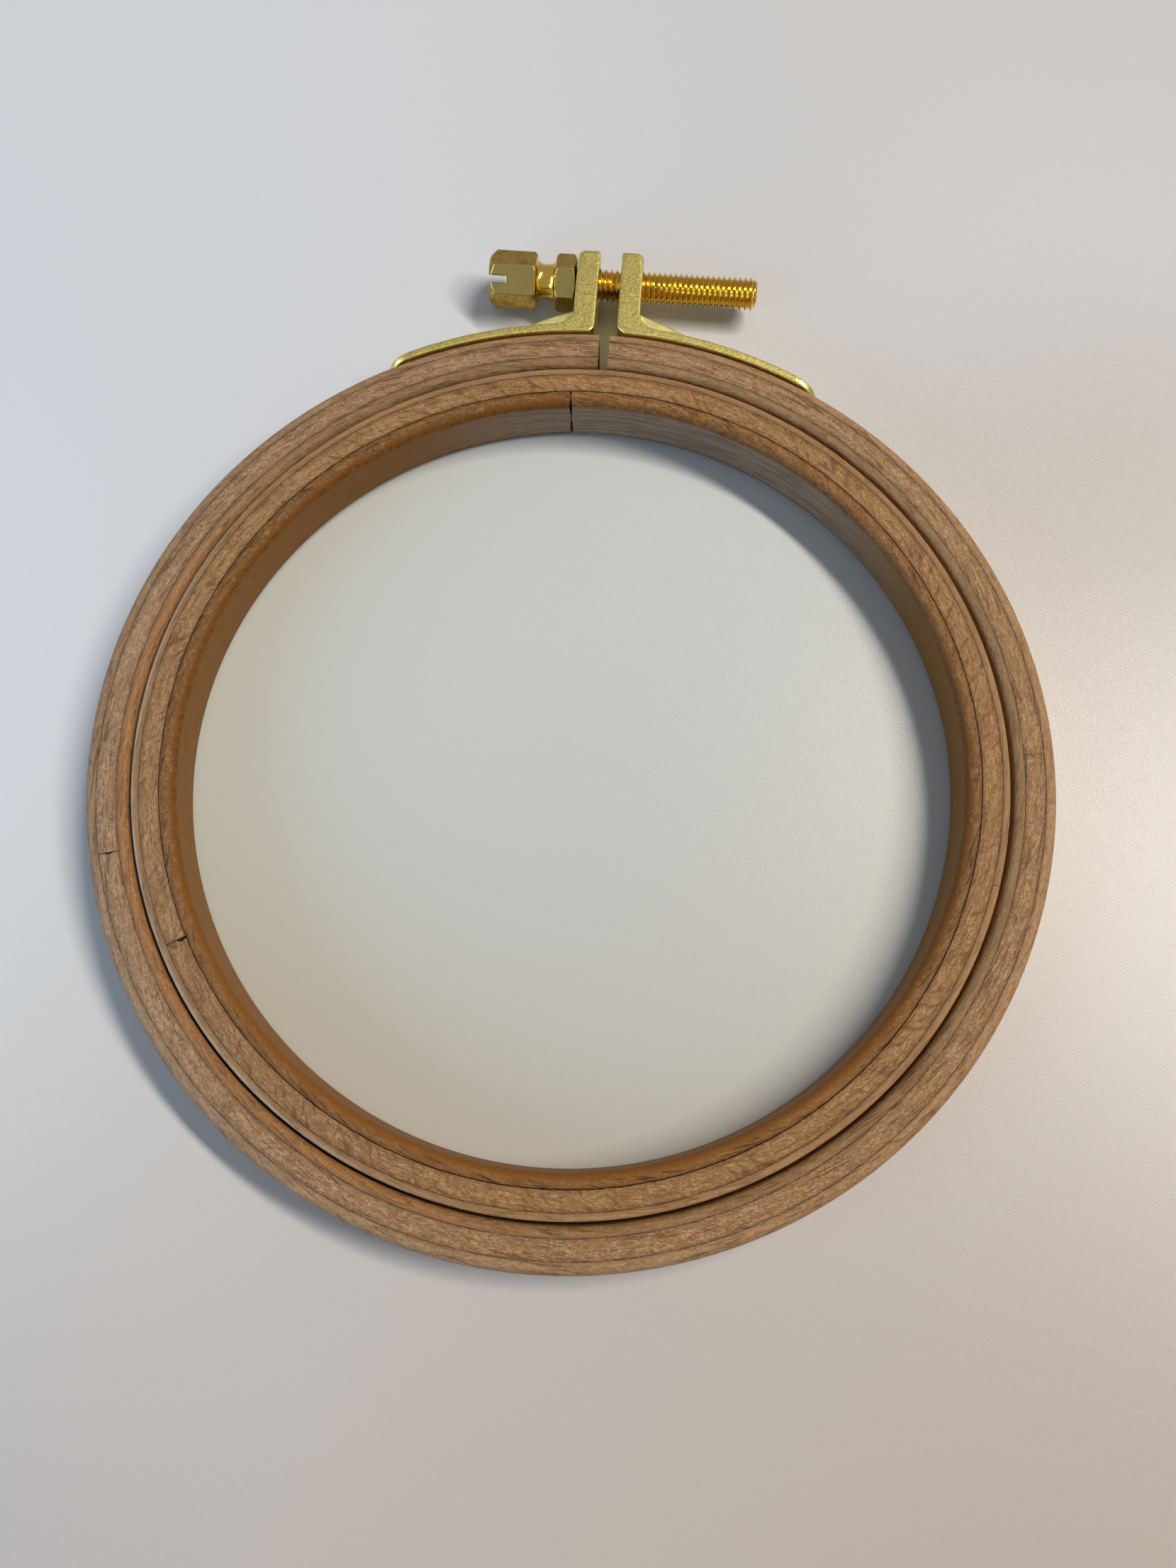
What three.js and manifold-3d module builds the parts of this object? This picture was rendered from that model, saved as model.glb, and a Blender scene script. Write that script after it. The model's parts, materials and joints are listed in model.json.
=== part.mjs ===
// Wooden embroidery hoop: two laminated beech rings, of which the outer one is split
// and drawn together by a brass screw that passes through two brass brackets.
// Millimetres, +Z up. The hoop lies flat on z = 0 with its split and clamp towards +Y.

import * as THREE from 'three';
import { mergeVertices } from 'three/addons/utils/BufferGeometryUtils.js';
import Module from 'manifold-3d';

const wasm = await Module();
wasm.setup();

// Driving dimensions of the rings
const OUTER_RING_DIAMETER = 112;
const RING_HEIGHT = 8;
const OUTER_RING_OUTER_PLY = 1.5;
const OUTER_RING_MIDDLE_PLY = 2.2;
const OUTER_RING_INNER_PLY = 1.15;
const INNER_RING_OUTER_PLY = 0.85;
const INNER_RING_MIDDLE_PLY = 2.25;
const INNER_RING_INNER_PLY = 1.6;
const GLUE_LINE = 0.1;
const OUTER_RING_OUTER_ROUND = 1.4;
const OUTER_RING_THROAT_ROUND = 1.1;
const INNER_RING_OUTER_ROUND = 0.35;
const INNER_RING_THROAT_ROUND = 1.15;

// The inner ring lies in the middle of the outer one, with this radial play
const RING_PLAY = 0.42;

// Cuts across the plies: the sawn split, the butt joints and the line that flexes
const SPLIT_WIDTH = 1.22;
const BUTT_JOINT_WIDTH = 0.1;
const FLEX_LINE_WIDTH = 0.3;

// Where the cuts lie, in degrees from +X counterclockwise
const SPLIT_ANGLE = 90;
const FLEX_LINE_ANGLE = 270;
const OUTER_RING_MIDDLE_BUTT = 196.3;
const OUTER_RING_INNER_BUTT = 324;
const INNER_RING_OUTER_BUTT = 347;
const INNER_RING_MIDDLE_BUTT = 210;
const INNER_RING_INNER_BUTT = 94.4;

// Brackets: an upright lug, a foot along the ring and a rib between them
const BRACKET_INSET = 0.3;
const SEAT_CLEARANCE = 0.1;
const LUG_GAP = 2.8;
const LUG_THICKNESS = 2.85;
const LUG_RISE = 12.1;
const LUG_CORNER_ROUND = 0.9;
const LUG_END_ROUND = 1.0;
const LEFT_HEEL_ROUND = 1.0;
const RIGHT_HEEL_ROUND = 1.4;
const LUG_FILLET = 2.2;
const FOOT_LENGTH = 28;
const FOOT_THICKNESS = 1.25;
const FOOT_TIP_THICKNESS = 0.9;
const FOOT_END_ROUND = 3.0;
const RIB_THICKNESS = 2.4;
const RIB_RISE = 5.2;
const RIB_LENGTH = 13;
const RIB_SWELL = 1.1;

// Pins that hold the feet to the ring, set back from the foot's tip
const PIN_SETBACKS = { far: 4, near: 9 };
const PIN_SHANK_DIAMETER = 1.1;
const PIN_HEAD_DIAMETER = 2.3;
const PIN_HEAD_HEIGHT = 0.6;
const PIN_DEPTH_IN_WOOD = 2.6;
const PIN_POINT_LENGTH = 0.6;
const PIN_CLEARANCE = 0.08;

// Clamp screw: one turned piece of hexagon bar with an M4 shank
const SCREW_RISE = 9.45;
const SHANK_DIAMETER = 4;
const SHANK_HOLE_CLEARANCE = 0.3;
const SHANK_BEYOND_LUG = 14.9;
const SHANK_CHAMFER = 0.5;
const HEX_ACROSS_FLATS = 6.2;
const HEAD_LENGTH = 6.1;
const HEAD_END_CHAMFER = 0.8;
const HEAD_CHAMFER = 0.35;
const GROOVE_WIDTH = 2.5;
const GROOVE_DEPTH = 1.05;
const COLLAR_LENGTH = 2.7;
const COLLAR_GAP = 0.15;
const SLOT_WIDTH = 0.9;
const SLOT_DEPTH = 2.25;
const SCREW_TURN = 36;

// Fineness of the round surfaces
const RING_SEGMENTS = 96;
const ROUND_STEPS = 2;
const SMALL_ROUND = 0.5;
const OUTLINE_STEPS = 6;
const GROOVE_STEPS = 8;
const SCREW_SEGMENTS = 30;
const PIN_SEGMENTS = 12;

// Sizes that follow from the driving dimensions
const OUTER_RING_RADIUS = OUTER_RING_DIAMETER / 2;
const OUTER_RING_WALL = OUTER_RING_OUTER_PLY + OUTER_RING_MIDDLE_PLY + OUTER_RING_INNER_PLY + 2 * GLUE_LINE;
const INNER_RING_RADIUS = OUTER_RING_RADIUS - OUTER_RING_WALL - RING_PLAY;
const MID_HEIGHT = RING_HEIGHT / 2;
const SEAT_RADIUS = OUTER_RING_RADIUS + SEAT_CLEARANCE;
const BRACKET_WIDTH = RING_HEIGHT - 2 * BRACKET_INSET;
const LUG_FACE = LUG_GAP / 2;
const LUG_BACK = LUG_FACE + LUG_THICKNESS;
const LUG_TOP = OUTER_RING_RADIUS + LUG_RISE;
const FOOT_TIP_ANGLE = FOOT_LENGTH / SEAT_RADIUS;
const SCREW_AXIS_Y = OUTER_RING_RADIUS + SCREW_RISE;
const MARGIN = 1;

const OUTER_RING_BEECH = new THREE.MeshStandardMaterial({ color: 0xb08d71, roughness: 0.7, metalness: 0 });
const INNER_RING_BEECH = new THREE.MeshStandardMaterial({ color: 0xbe966e, roughness: 0.7, metalness: 0 });
const CAST_BRASS = new THREE.MeshStandardMaterial({ color: 0xafa05a, roughness: 0.4, metalness: 1 });
const TURNED_BRASS = new THREE.MeshStandardMaterial({ color: 0xaa8432, roughness: 0.3, metalness: 1 });

function radians(degrees) {
  return THREE.MathUtils.degToRad(degrees);
}

// A closed solid from any closed geometry, its shared vertices joined
function solidFrom(geometry) {
  geometry.deleteAttribute('normal');
  geometry.deleteAttribute('uv');
  const merged = mergeVertices(geometry);
  const index = merged.index.array;
  const triangles = [];
  for (let i = 0; i < index.length; i += 3) {
    const [a, b, c] = [index[i], index[i + 1], index[i + 2]];
    if (a !== b && b !== c && c !== a) triangles.push(a, b, c);
  }
  return new wasm.Manifold(new wasm.Mesh({
    numProp: 3,
    vertProperties: merged.attributes.position.array,
    triVerts: new Uint32Array(triangles),
  }));
}

// The named mesh of a finished solid
function pieceFrom(name, solid, material) {
  const { vertProperties, triVerts } = solid.getMesh();
  const geometry = new THREE.BufferGeometry();
  geometry.setAttribute('position', new THREE.BufferAttribute(vertProperties, 3));
  geometry.setIndex(new THREE.BufferAttribute(triVerts, 1));
  geometry.computeVertexNormals();
  const mesh = new THREE.Mesh(geometry, material);
  mesh.name = name;
  return mesh;
}

// A rectangle whose left and right corners have their own rounds
function roundedRectangle(left, right, bottom, top, leftRound, rightRound) {
  const outline = new THREE.Shape();
  const corners = [
    { x: right - rightRound, y: bottom + rightRound, round: rightRound, start: -90 },
    { x: right - rightRound, y: top - rightRound, round: rightRound, start: 0 },
    { x: left + leftRound, y: top - leftRound, round: leftRound, start: 90 },
    { x: left + leftRound, y: bottom + leftRound, round: leftRound, start: 180 },
  ];
  outline.moveTo(corners[0].x, bottom);
  for (const { x, y, round, start } of corners) {
    if (round > 0) outline.absarc(x, y, round, radians(start), radians(start + 90), false);
    else outline.lineTo(x, y);
  }
  outline.closePath();
  return outline;
}

// A section drawn as radius against height, turned into a ring about Z
function ringSolid(section) {
  const geometry = new THREE.LatheGeometry(section, RING_SEGMENTS);
  geometry.rotateX(Math.PI / 2);
  return solidFrom(geometry);
}

// The part of the plane between two cuts across a ring, as a block taller than the ring
function sectorSolid(from, to) {
  const near = INNER_RING_RADIUS / 2;
  const far = OUTER_RING_RADIUS * 2;
  const start = radians(from.angle);
  const end = radians(to.angle > from.angle ? to.angle : to.angle + 360);
  const sideways = (angle, width) => new THREE.Vector2(-Math.sin(angle), Math.cos(angle)).multiplyScalar(width / 2);
  const along = (angle, radius) => new THREE.Vector2(Math.cos(angle), Math.sin(angle)).multiplyScalar(radius);
  const startShift = sideways(start, from.width);
  const endShift = sideways(end, -to.width);
  const outline = new THREE.Shape();
  outline.setFromPoints([along(start, near).add(startShift), along(start, far).add(startShift)]);
  const turns = 16;
  for (let i = 1; i < turns; i += 1) {
    const corner = along(THREE.MathUtils.lerp(start, end, i / turns), far);
    outline.lineTo(corner.x, corner.y);
  }
  for (const corner of [along(end, far).add(endShift), along(end, near).add(endShift)]) {
    outline.lineTo(corner.x, corner.y);
  }
  for (let i = turns - 1; i > 0; i -= 1) {
    const corner = along(THREE.MathUtils.lerp(start, end, i / turns), near);
    outline.lineTo(corner.x, corner.y);
  }
  const geometry = new THREE.ExtrudeGeometry(outline, { depth: RING_HEIGHT + 2 * MARGIN, bevelEnabled: false });
  geometry.translate(0, 0, -MARGIN);
  return solidFrom(geometry);
}

// The three plies of a ring from the outside in, as sections of radius against height
function plySections(radius, plies, outerRound, throatRound) {
  const sections = {};
  let outside = radius;
  for (const [name, thickness] of Object.entries(plies)) {
    const inside = outside - thickness;
    const throat = name === 'inner' ? Math.min(throatRound, thickness) : 0;
    const outer = name === 'outer' ? Math.min(outerRound, thickness) : 0;
    const steps = Math.max(throat, outer) < SMALL_ROUND ? 1 : ROUND_STEPS;
    sections[name] = roundedRectangle(inside, outside, 0, RING_HEIGHT, throat, outer).getPoints(steps);
    outside = inside - GLUE_LINE;
  }
  return sections;
}

// Outer ring: each ply is cut at the split, at the flexing line and at its butt joint
function outerRing(pinHoles) {
  const split = { angle: SPLIT_ANGLE, width: SPLIT_WIDTH };
  const flexLine = { angle: FLEX_LINE_ANGLE, width: FLEX_LINE_WIDTH };
  const middleButt = { angle: OUTER_RING_MIDDLE_BUTT, width: BUTT_JOINT_WIDTH };
  const innerButt = { angle: OUTER_RING_INNER_BUTT, width: BUTT_JOINT_WIDTH };
  const strips = [
    { ply: 'outer', name: 'outer_ring_outer_ply_left', from: split, to: flexLine },
    { ply: 'outer', name: 'outer_ring_outer_ply_right', from: flexLine, to: split },
    { ply: 'middle', name: 'outer_ring_middle_ply_left_upper', from: split, to: middleButt },
    { ply: 'middle', name: 'outer_ring_middle_ply_left_lower', from: middleButt, to: flexLine },
    { ply: 'middle', name: 'outer_ring_middle_ply_right', from: flexLine, to: split },
    { ply: 'inner', name: 'outer_ring_inner_ply_left', from: split, to: flexLine },
    { ply: 'inner', name: 'outer_ring_inner_ply_right_lower', from: flexLine, to: innerButt },
    { ply: 'inner', name: 'outer_ring_inner_ply_right_upper', from: innerButt, to: split },
  ];
  const plies = { outer: OUTER_RING_OUTER_PLY, middle: OUTER_RING_MIDDLE_PLY, inner: OUTER_RING_INNER_PLY };
  const sections = plySections(OUTER_RING_RADIUS, plies, OUTER_RING_OUTER_ROUND, OUTER_RING_THROAT_ROUND);
  const ring = new THREE.Group();
  for (const { ply, name, from, to } of strips) {
    const strip = ringSolid(sections[ply]).intersect(sectorSolid(from, to)).subtract(pinHoles);
    ring.add(pieceFrom(name, strip, OUTER_RING_BEECH));
  }
  return ring;
}

// Inner ring: each ply is one strip bent round until its ends meet at the butt joint
function innerRing() {
  const plies = { outer: INNER_RING_OUTER_PLY, middle: INNER_RING_MIDDLE_PLY, inner: INNER_RING_INNER_PLY };
  const butts = { outer: INNER_RING_OUTER_BUTT, middle: INNER_RING_MIDDLE_BUTT, inner: INNER_RING_INNER_BUTT };
  const sections = plySections(INNER_RING_RADIUS, plies, INNER_RING_OUTER_ROUND, INNER_RING_THROAT_ROUND);
  const ring = new THREE.Group();
  for (const ply of Object.keys(plies)) {
    const butt = { angle: butts[ply], width: BUTT_JOINT_WIDTH };
    const strip = ringSolid(sections[ply]).intersect(sectorSolid(butt, butt));
    ring.add(pieceFrom(`inner_ring_${ply}_ply`, strip, INNER_RING_BEECH));
  }
  return ring;
}

// How thick the foot is at an angle from the split
function footThickness(angle) {
  return THREE.MathUtils.mapLinear(angle, 0, FOOT_TIP_ANGLE, FOOT_THICKNESS, FOOT_TIP_THICKNESS);
}

// A point of the bracket's plan, at an angle from the split towards +X
function planPoint(angle, radius) {
  return new THREE.Vector2(Math.sin(angle), Math.cos(angle)).multiplyScalar(radius);
}

function heightOnCircle(radius, x) {
  return Math.sqrt(radius * radius - x * x);
}

// Plan of lug and foot, seen from above on the +X side of the split
function bracketPlan(heelRound) {
  const heelAngle = Math.asin((LUG_FACE + heelRound) / SEAT_RADIUS);
  const heelHeight = heightOnCircle(SEAT_RADIUS, LUG_FACE);
  const heelEnd = planPoint(heelAngle, SEAT_RADIUS);
  const footRadius = SEAT_RADIUS + FOOT_THICKNESS;
  const filletAngle = Math.asin((LUG_BACK + LUG_FILLET) / footRadius);
  const filletHeight = heightOnCircle(footRadius, LUG_BACK);
  const plan = new THREE.Shape();
  plan.moveTo(LUG_FACE, LUG_TOP);
  plan.lineTo(LUG_FACE, heelHeight + heelRound);
  plan.quadraticCurveTo(LUG_FACE, heelHeight, heelEnd.x, heelEnd.y);
  plan.absarc(0, 0, SEAT_RADIUS, Math.PI / 2 - heelAngle, Math.PI / 2 - FOOT_TIP_ANGLE, true);
  const steps = 2 * OUTLINE_STEPS;
  for (let i = 0; i <= steps; i += 1) {
    const angle = THREE.MathUtils.lerp(FOOT_TIP_ANGLE, filletAngle, i / steps);
    const point = planPoint(angle, SEAT_RADIUS + footThickness(angle));
    plan.lineTo(point.x, point.y);
  }
  plan.quadraticCurveTo(LUG_BACK, filletHeight, LUG_BACK, filletHeight + LUG_FILLET);
  plan.lineTo(LUG_BACK, LUG_TOP - LUG_CORNER_ROUND);
  plan.quadraticCurveTo(LUG_BACK, LUG_TOP, LUG_BACK - LUG_CORNER_ROUND, LUG_TOP);
  plan.closePath();
  return plan;
}

// Plan of the rib, rooted in the middle of the lug and of the foot's wall
function ribPlan() {
  const rootRadius = SEAT_RADIUS + FOOT_TIP_THICKNESS / 2;
  const rootX = LUG_FACE + LUG_THICKNESS / 2;
  const rootAngle = Math.asin(rootX / rootRadius);
  const endAngle = (LUG_BACK + RIB_LENGTH) / rootRadius;
  const end = planPoint(endAngle, rootRadius);
  const top = new THREE.Vector2(rootX, OUTER_RING_RADIUS + RIB_RISE);
  const middle = top.clone().lerp(end, 0.5);
  const plan = new THREE.Shape();
  plan.absarc(0, 0, rootRadius, Math.PI / 2 - rootAngle, Math.PI / 2 - endAngle, true);
  plan.quadraticCurveTo(middle.x, middle.y + RIB_SWELL, top.x, top.y);
  plan.closePath();
  return plan;
}

// A plan extruded to a width that is centred on the ring's mid height
function plateSolid(plan, width) {
  const geometry = new THREE.ExtrudeGeometry(plan, {
    depth: width,
    bevelEnabled: false,
    curveSegments: OUTLINE_STEPS,
  });
  geometry.translate(0, 0, MID_HEIGHT - width / 2);
  return solidFrom(geometry);
}

// What a round end of the bracket leaves over: a frame about two rounded corners.
// The end runs along `outwards` and the tool is square to the bracket's wall.
function endCutter(end, outwards, round, wall) {
  const low = MID_HEIGHT - BRACKET_WIDTH / 2;
  const high = MID_HEIGHT + BRACKET_WIDTH / 2;
  const frame = new THREE.Shape();
  frame.moveTo(-round, low - MARGIN);
  frame.lineTo(MARGIN, low - MARGIN);
  frame.lineTo(MARGIN, high + MARGIN);
  frame.lineTo(-round, high + MARGIN);
  frame.lineTo(-round, high);
  frame.absarc(-round, high - round, round, Math.PI / 2, 0, true);
  frame.absarc(-round, low + round, round, 0, -Math.PI / 2, true);
  frame.closePath();
  const geometry = new THREE.ExtrudeGeometry(frame, {
    depth: 2 * wall,
    bevelEnabled: false,
    curveSegments: OUTLINE_STEPS / 2,
  });
  geometry.translate(0, 0, -wall);
  geometry.rotateX(Math.PI / 2);
  geometry.rotateZ(outwards);
  geometry.translate(end.x, end.y, 0);
  return solidFrom(geometry);
}

// A cylinder along +X through the screw's axis, centred at x
function cylinderOnScrewAxis(x, length, radius, segments) {
  const geometry = new THREE.CylinderGeometry(radius, radius, length, segments);
  geometry.rotateZ(-Math.PI / 2);
  geometry.translate(x, SCREW_AXIS_Y, MID_HEIGHT);
  return solidFrom(geometry);
}

// One bracket on the +X side, before the pin holes are drilled
function bracketSolid(heelRound) {
  const lugEnd = new THREE.Vector2(LUG_FACE + LUG_THICKNESS / 2, LUG_TOP);
  const footEnd = planPoint(FOOT_TIP_ANGLE, SEAT_RADIUS);
  const holeRadius = SHANK_DIAMETER / 2 + SHANK_HOLE_CLEARANCE;
  const footTurn = Math.min(FOOT_END_ROUND, BRACKET_WIDTH / 2 - BRACKET_INSET);
  return plateSolid(bracketPlan(heelRound), BRACKET_WIDTH)
    .add(plateSolid(ribPlan(), RIB_THICKNESS))
    .subtract(cylinderOnScrewAxis(lugEnd.x, 2 * LUG_THICKNESS, holeRadius, SCREW_SEGMENTS))
    .subtract(endCutter(lugEnd, Math.PI / 2, LUG_END_ROUND, LUG_THICKNESS))
    .subtract(endCutter(footEnd, -FOOT_TIP_ANGLE, footTurn, 2 * FOOT_THICKNESS));
}

// Where a pin enters its foot: its angle from the split towards +X
function pinAngle(setback) {
  return (FOOT_LENGTH - setback) / SEAT_RADIUS;
}

// Something turned about +Y, moved to a pin's place and pointing away from the ring
function placeOnPin(geometry, angle) {
  geometry.rotateZ(-angle);
  geometry.translate(0, 0, MID_HEIGHT);
  return solidFrom(geometry);
}

function pinHole(angle) {
  const radius = PIN_SHANK_DIAMETER / 2 + PIN_CLEARANCE;
  const bottom = OUTER_RING_RADIUS - PIN_DEPTH_IN_WOOD - PIN_CLEARANCE;
  const top = SEAT_RADIUS + FOOT_THICKNESS + MARGIN;
  const geometry = new THREE.CylinderGeometry(radius, radius, top - bottom, PIN_SEGMENTS);
  geometry.translate(0, (top + bottom) / 2, 0);
  return placeOnPin(geometry, angle);
}

// A pin with a blunt point and a domed head that sits on the foot
function pinSolid(angle) {
  const shank = PIN_SHANK_DIAMETER / 2;
  const point = OUTER_RING_RADIUS - PIN_DEPTH_IN_WOOD;
  const seat = SEAT_RADIUS + footThickness(angle) + PIN_CLEARANCE;
  const profile = new THREE.Path();
  profile.moveTo(0, point);
  profile.lineTo(shank / 3, point);
  profile.lineTo(shank, point + PIN_POINT_LENGTH);
  profile.lineTo(shank, seat);
  profile.lineTo(PIN_HEAD_DIAMETER / 2, seat);
  profile.absellipse(0, seat, PIN_HEAD_DIAMETER / 2, PIN_HEAD_HEIGHT, 0, Math.PI / 2, false);
  const geometry = new THREE.LatheGeometry(profile.getPoints(ROUND_STEPS), PIN_SEGMENTS);
  return placeOnPin(geometry, angle);
}

// The screw's hexagon bar, turned down at its ends and at the groove
function headSolid(left, right) {
  const corner = HEX_ACROSS_FLATS / Math.sqrt(3);
  const envelope = corner + MARGIN;
  const grooveLeft = left + HEAD_LENGTH;
  const grooveRight = right - COLLAR_LENGTH;
  const profile = new THREE.Path();
  profile.moveTo(0, left);
  profile.lineTo(corner - HEAD_END_CHAMFER, left);
  profile.lineTo(corner, left + HEAD_END_CHAMFER);
  profile.lineTo(envelope, left + HEAD_END_CHAMFER);
  profile.lineTo(envelope, grooveLeft - HEAD_CHAMFER);
  profile.lineTo(corner, grooveLeft - HEAD_CHAMFER);
  for (let i = 0; i <= GROOVE_STEPS; i += 1) {
    const turn = Math.PI * i / GROOVE_STEPS;
    const x = (grooveLeft + grooveRight) / 2 - Math.cos(turn) * GROOVE_WIDTH / 2;
    profile.lineTo(corner - HEAD_CHAMFER - GROOVE_DEPTH * Math.sqrt(Math.sin(turn)), x);
  }
  profile.lineTo(corner, grooveRight + HEAD_CHAMFER);
  profile.lineTo(envelope, grooveRight + HEAD_CHAMFER);
  profile.lineTo(envelope, right - HEAD_CHAMFER);
  profile.lineTo(corner, right - HEAD_CHAMFER);
  profile.lineTo(corner - 2 * HEAD_CHAMFER, right);
  profile.lineTo(0, right);
  const turned = new THREE.LatheGeometry(profile.getPoints(1), SCREW_SEGMENTS);
  turned.rotateZ(-Math.PI / 2);
  turned.translate(0, SCREW_AXIS_Y, MID_HEIGHT);
  const bar = new THREE.CylinderGeometry(corner, corner, right - left, 6);
  bar.rotateZ(-Math.PI / 2);
  bar.rotateX(radians(30 + SCREW_TURN));
  bar.translate((left + right) / 2, SCREW_AXIS_Y, MID_HEIGHT);
  return solidFrom(turned).intersect(solidFrom(bar));
}

// The plain core of the threaded shank, with a chamfered end
function shankSolid(left, right) {
  const radius = SHANK_DIAMETER / 2;
  const profile = new THREE.Path();
  profile.moveTo(0, left);
  profile.lineTo(radius, left);
  profile.lineTo(radius, right - SHANK_CHAMFER);
  profile.lineTo(radius - SHANK_CHAMFER, right);
  profile.lineTo(0, right);
  const geometry = new THREE.LatheGeometry(profile.getPoints(1), SCREW_SEGMENTS);
  geometry.rotateZ(-Math.PI / 2);
  geometry.translate(0, SCREW_AXIS_Y, MID_HEIGHT);
  return solidFrom(geometry);
}

function clampScrew() {
  const collarFace = -LUG_BACK - COLLAR_GAP;
  const headFace = collarFace - COLLAR_LENGTH - GROOVE_WIDTH - HEAD_LENGTH;
  const slot = new THREE.BoxGeometry(2 * SLOT_DEPTH, SLOT_WIDTH, 2 * HEX_ACROSS_FLATS);
  slot.rotateX(radians(SCREW_TURN));
  slot.translate(headFace, SCREW_AXIS_Y, MID_HEIGHT);
  const screw = headSolid(headFace, collarFace)
    .add(shankSolid(collarFace - COLLAR_LENGTH / 2, LUG_BACK + SHANK_BEYOND_LUG))
    .subtract(solidFrom(slot));
  return pieceFrom('clamp_screw', screw, TURNED_BRASS);
}

// The mirror image of a solid on the other side of the split
function otherSide(solid) {
  return solid.mirror([1, 0, 0]);
}

function hoop() {
  const sides = [
    { name: 'left', heelRound: LEFT_HEEL_ROUND, place: otherSide },
    { name: 'right', heelRound: RIGHT_HEEL_ROUND, place: (solid) => solid },
  ];
  const clamp = new THREE.Group();
  const allPinHoles = [];
  for (const side of sides) {
    let bracket = bracketSolid(side.heelRound);
    for (const [place, setback] of Object.entries(PIN_SETBACKS)) {
      const angle = pinAngle(setback);
      const hole = pinHole(angle);
      bracket = bracket.subtract(hole);
      allPinHoles.push(side.place(hole));
      clamp.add(pieceFrom(`${side.name}_bracket_pin_${place}`, side.place(pinSolid(angle)), TURNED_BRASS));
    }
    clamp.add(pieceFrom(`${side.name}_bracket`, side.place(bracket), CAST_BRASS));
  }
  const pinHoles = allPinHoles.reduce((joined, hole) => joined.add(hole));
  clamp.add(clampScrew());

  const assembly = new THREE.Group();
  assembly.add(outerRing(pinHoles), innerRing(), clamp);
  return assembly;
}

// The origin is the middle of the footprint on the surface that the hoop lies on
function centredOnFootprint(assembly) {
  const centre = new THREE.Box3().setFromObject(assembly).getCenter(new THREE.Vector3());
  assembly.position.set(-centre.x, -centre.y, 0);
  assembly.updateMatrixWorld(true);
  return assembly;
}

export default centredOnFootprint(hoop());
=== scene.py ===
"""Wooden embroidery hoop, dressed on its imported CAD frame.

Two rings of laminated beech lie one inside the other on a pale table. The outer ring is
split, and a brass screw through two cast brass brackets draws its ends together. Shapes
are modelled in millimetres and made metres when a piece is finished.
"""

import json
import logging
import math
from collections.abc import Callable, Iterator
from contextlib import contextmanager
from dataclasses import dataclass, field
from enum import Enum, IntEnum
from functools import reduce
from itertools import pairwise

import bmesh
import bpy
import numpy as np
from mathutils import Matrix, Vector

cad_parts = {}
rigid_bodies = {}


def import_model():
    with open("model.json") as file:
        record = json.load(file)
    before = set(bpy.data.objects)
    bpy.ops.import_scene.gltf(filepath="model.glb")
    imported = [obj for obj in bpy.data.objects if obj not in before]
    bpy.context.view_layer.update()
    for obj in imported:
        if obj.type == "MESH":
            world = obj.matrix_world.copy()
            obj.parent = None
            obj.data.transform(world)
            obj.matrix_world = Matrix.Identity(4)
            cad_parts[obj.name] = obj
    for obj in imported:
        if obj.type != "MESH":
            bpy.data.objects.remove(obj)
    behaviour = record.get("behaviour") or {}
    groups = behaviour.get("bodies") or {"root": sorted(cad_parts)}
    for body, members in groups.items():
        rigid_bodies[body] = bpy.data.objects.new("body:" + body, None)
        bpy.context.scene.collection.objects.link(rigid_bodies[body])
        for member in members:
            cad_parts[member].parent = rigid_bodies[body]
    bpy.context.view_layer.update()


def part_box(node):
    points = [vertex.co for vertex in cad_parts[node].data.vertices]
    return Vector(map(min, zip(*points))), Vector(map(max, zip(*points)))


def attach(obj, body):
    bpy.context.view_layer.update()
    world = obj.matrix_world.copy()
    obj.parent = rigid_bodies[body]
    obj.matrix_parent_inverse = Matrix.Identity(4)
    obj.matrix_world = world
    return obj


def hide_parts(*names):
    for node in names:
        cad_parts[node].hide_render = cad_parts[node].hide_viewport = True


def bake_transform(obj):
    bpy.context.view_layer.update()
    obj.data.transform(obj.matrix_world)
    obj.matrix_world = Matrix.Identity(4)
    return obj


LOG = logging.getLogger("embroidery_hoop")
MM = 0.001
STRIP = "strip"
HEIGHT = 8.0  # of both rings, in millimetres
MID_HEIGHT = HEIGHT / 2
SCREW_RISE = 65.45  # from the ring's centre to the screw's axis, in millimetres
NEAR = 0.01  # millimetres within which two places count as one
SAME = 0.001  # millimetres within which two vertices of one shape are the same
ROUND = 96  # sides of a small round part
FINE_ROUND = 720  # sides of a round as wide as the ring

Triple = tuple[float, float, float]
Colour = Triple
Piece = bpy.types.Object
Socket = bpy.types.NodeSocket


class Side(IntEnum):
    """The two ends of the outer ring at its split, as a sign along X."""

    LEFT = -1
    RIGHT = 1


class Figure(Enum):
    """The patterns of the wood: features per millimetre along, across and up, and detail."""

    DRIFT = ((0.09, 0.8, 0.5), 2.0)
    BANDS = ((0.4, 2.3, 1.8), 4.0)
    MOTTLE = ((1.1, 3.0, 2.4), 3.0)
    STIPPLE = ((2.6, 6.5, 5.0), 3.0)
    CURLS = ((1.0, 3.0, 3.0), 2.0)
    CURLED_PLACES = ((0.5, 1.5, 1.2), 1.0)
    PORES = ((0.1, 1.9, 1.7), 1.0)
    PORED_PLACES = ((0.22, 1.3, 1.1), 1.0)


def rgb(red: int, green: int, blue: int) -> Colour:
    """A colour as a paint chart gives it, 0 to 255, made linear for the shader."""
    def linear(part: int) -> float:
        """One channel made linear."""
        share = part / 255
        return share / 12.92 if share <= 0.04045 else ((share + 0.055) / 1.055) ** 2.4
    return (linear(red), linear(green), linear(blue))


def toned(colour: Colour, by: float) -> Colour:
    """A colour made darker or lighter."""
    return tuple(min(part * by, 1.0) for part in colour)


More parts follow.
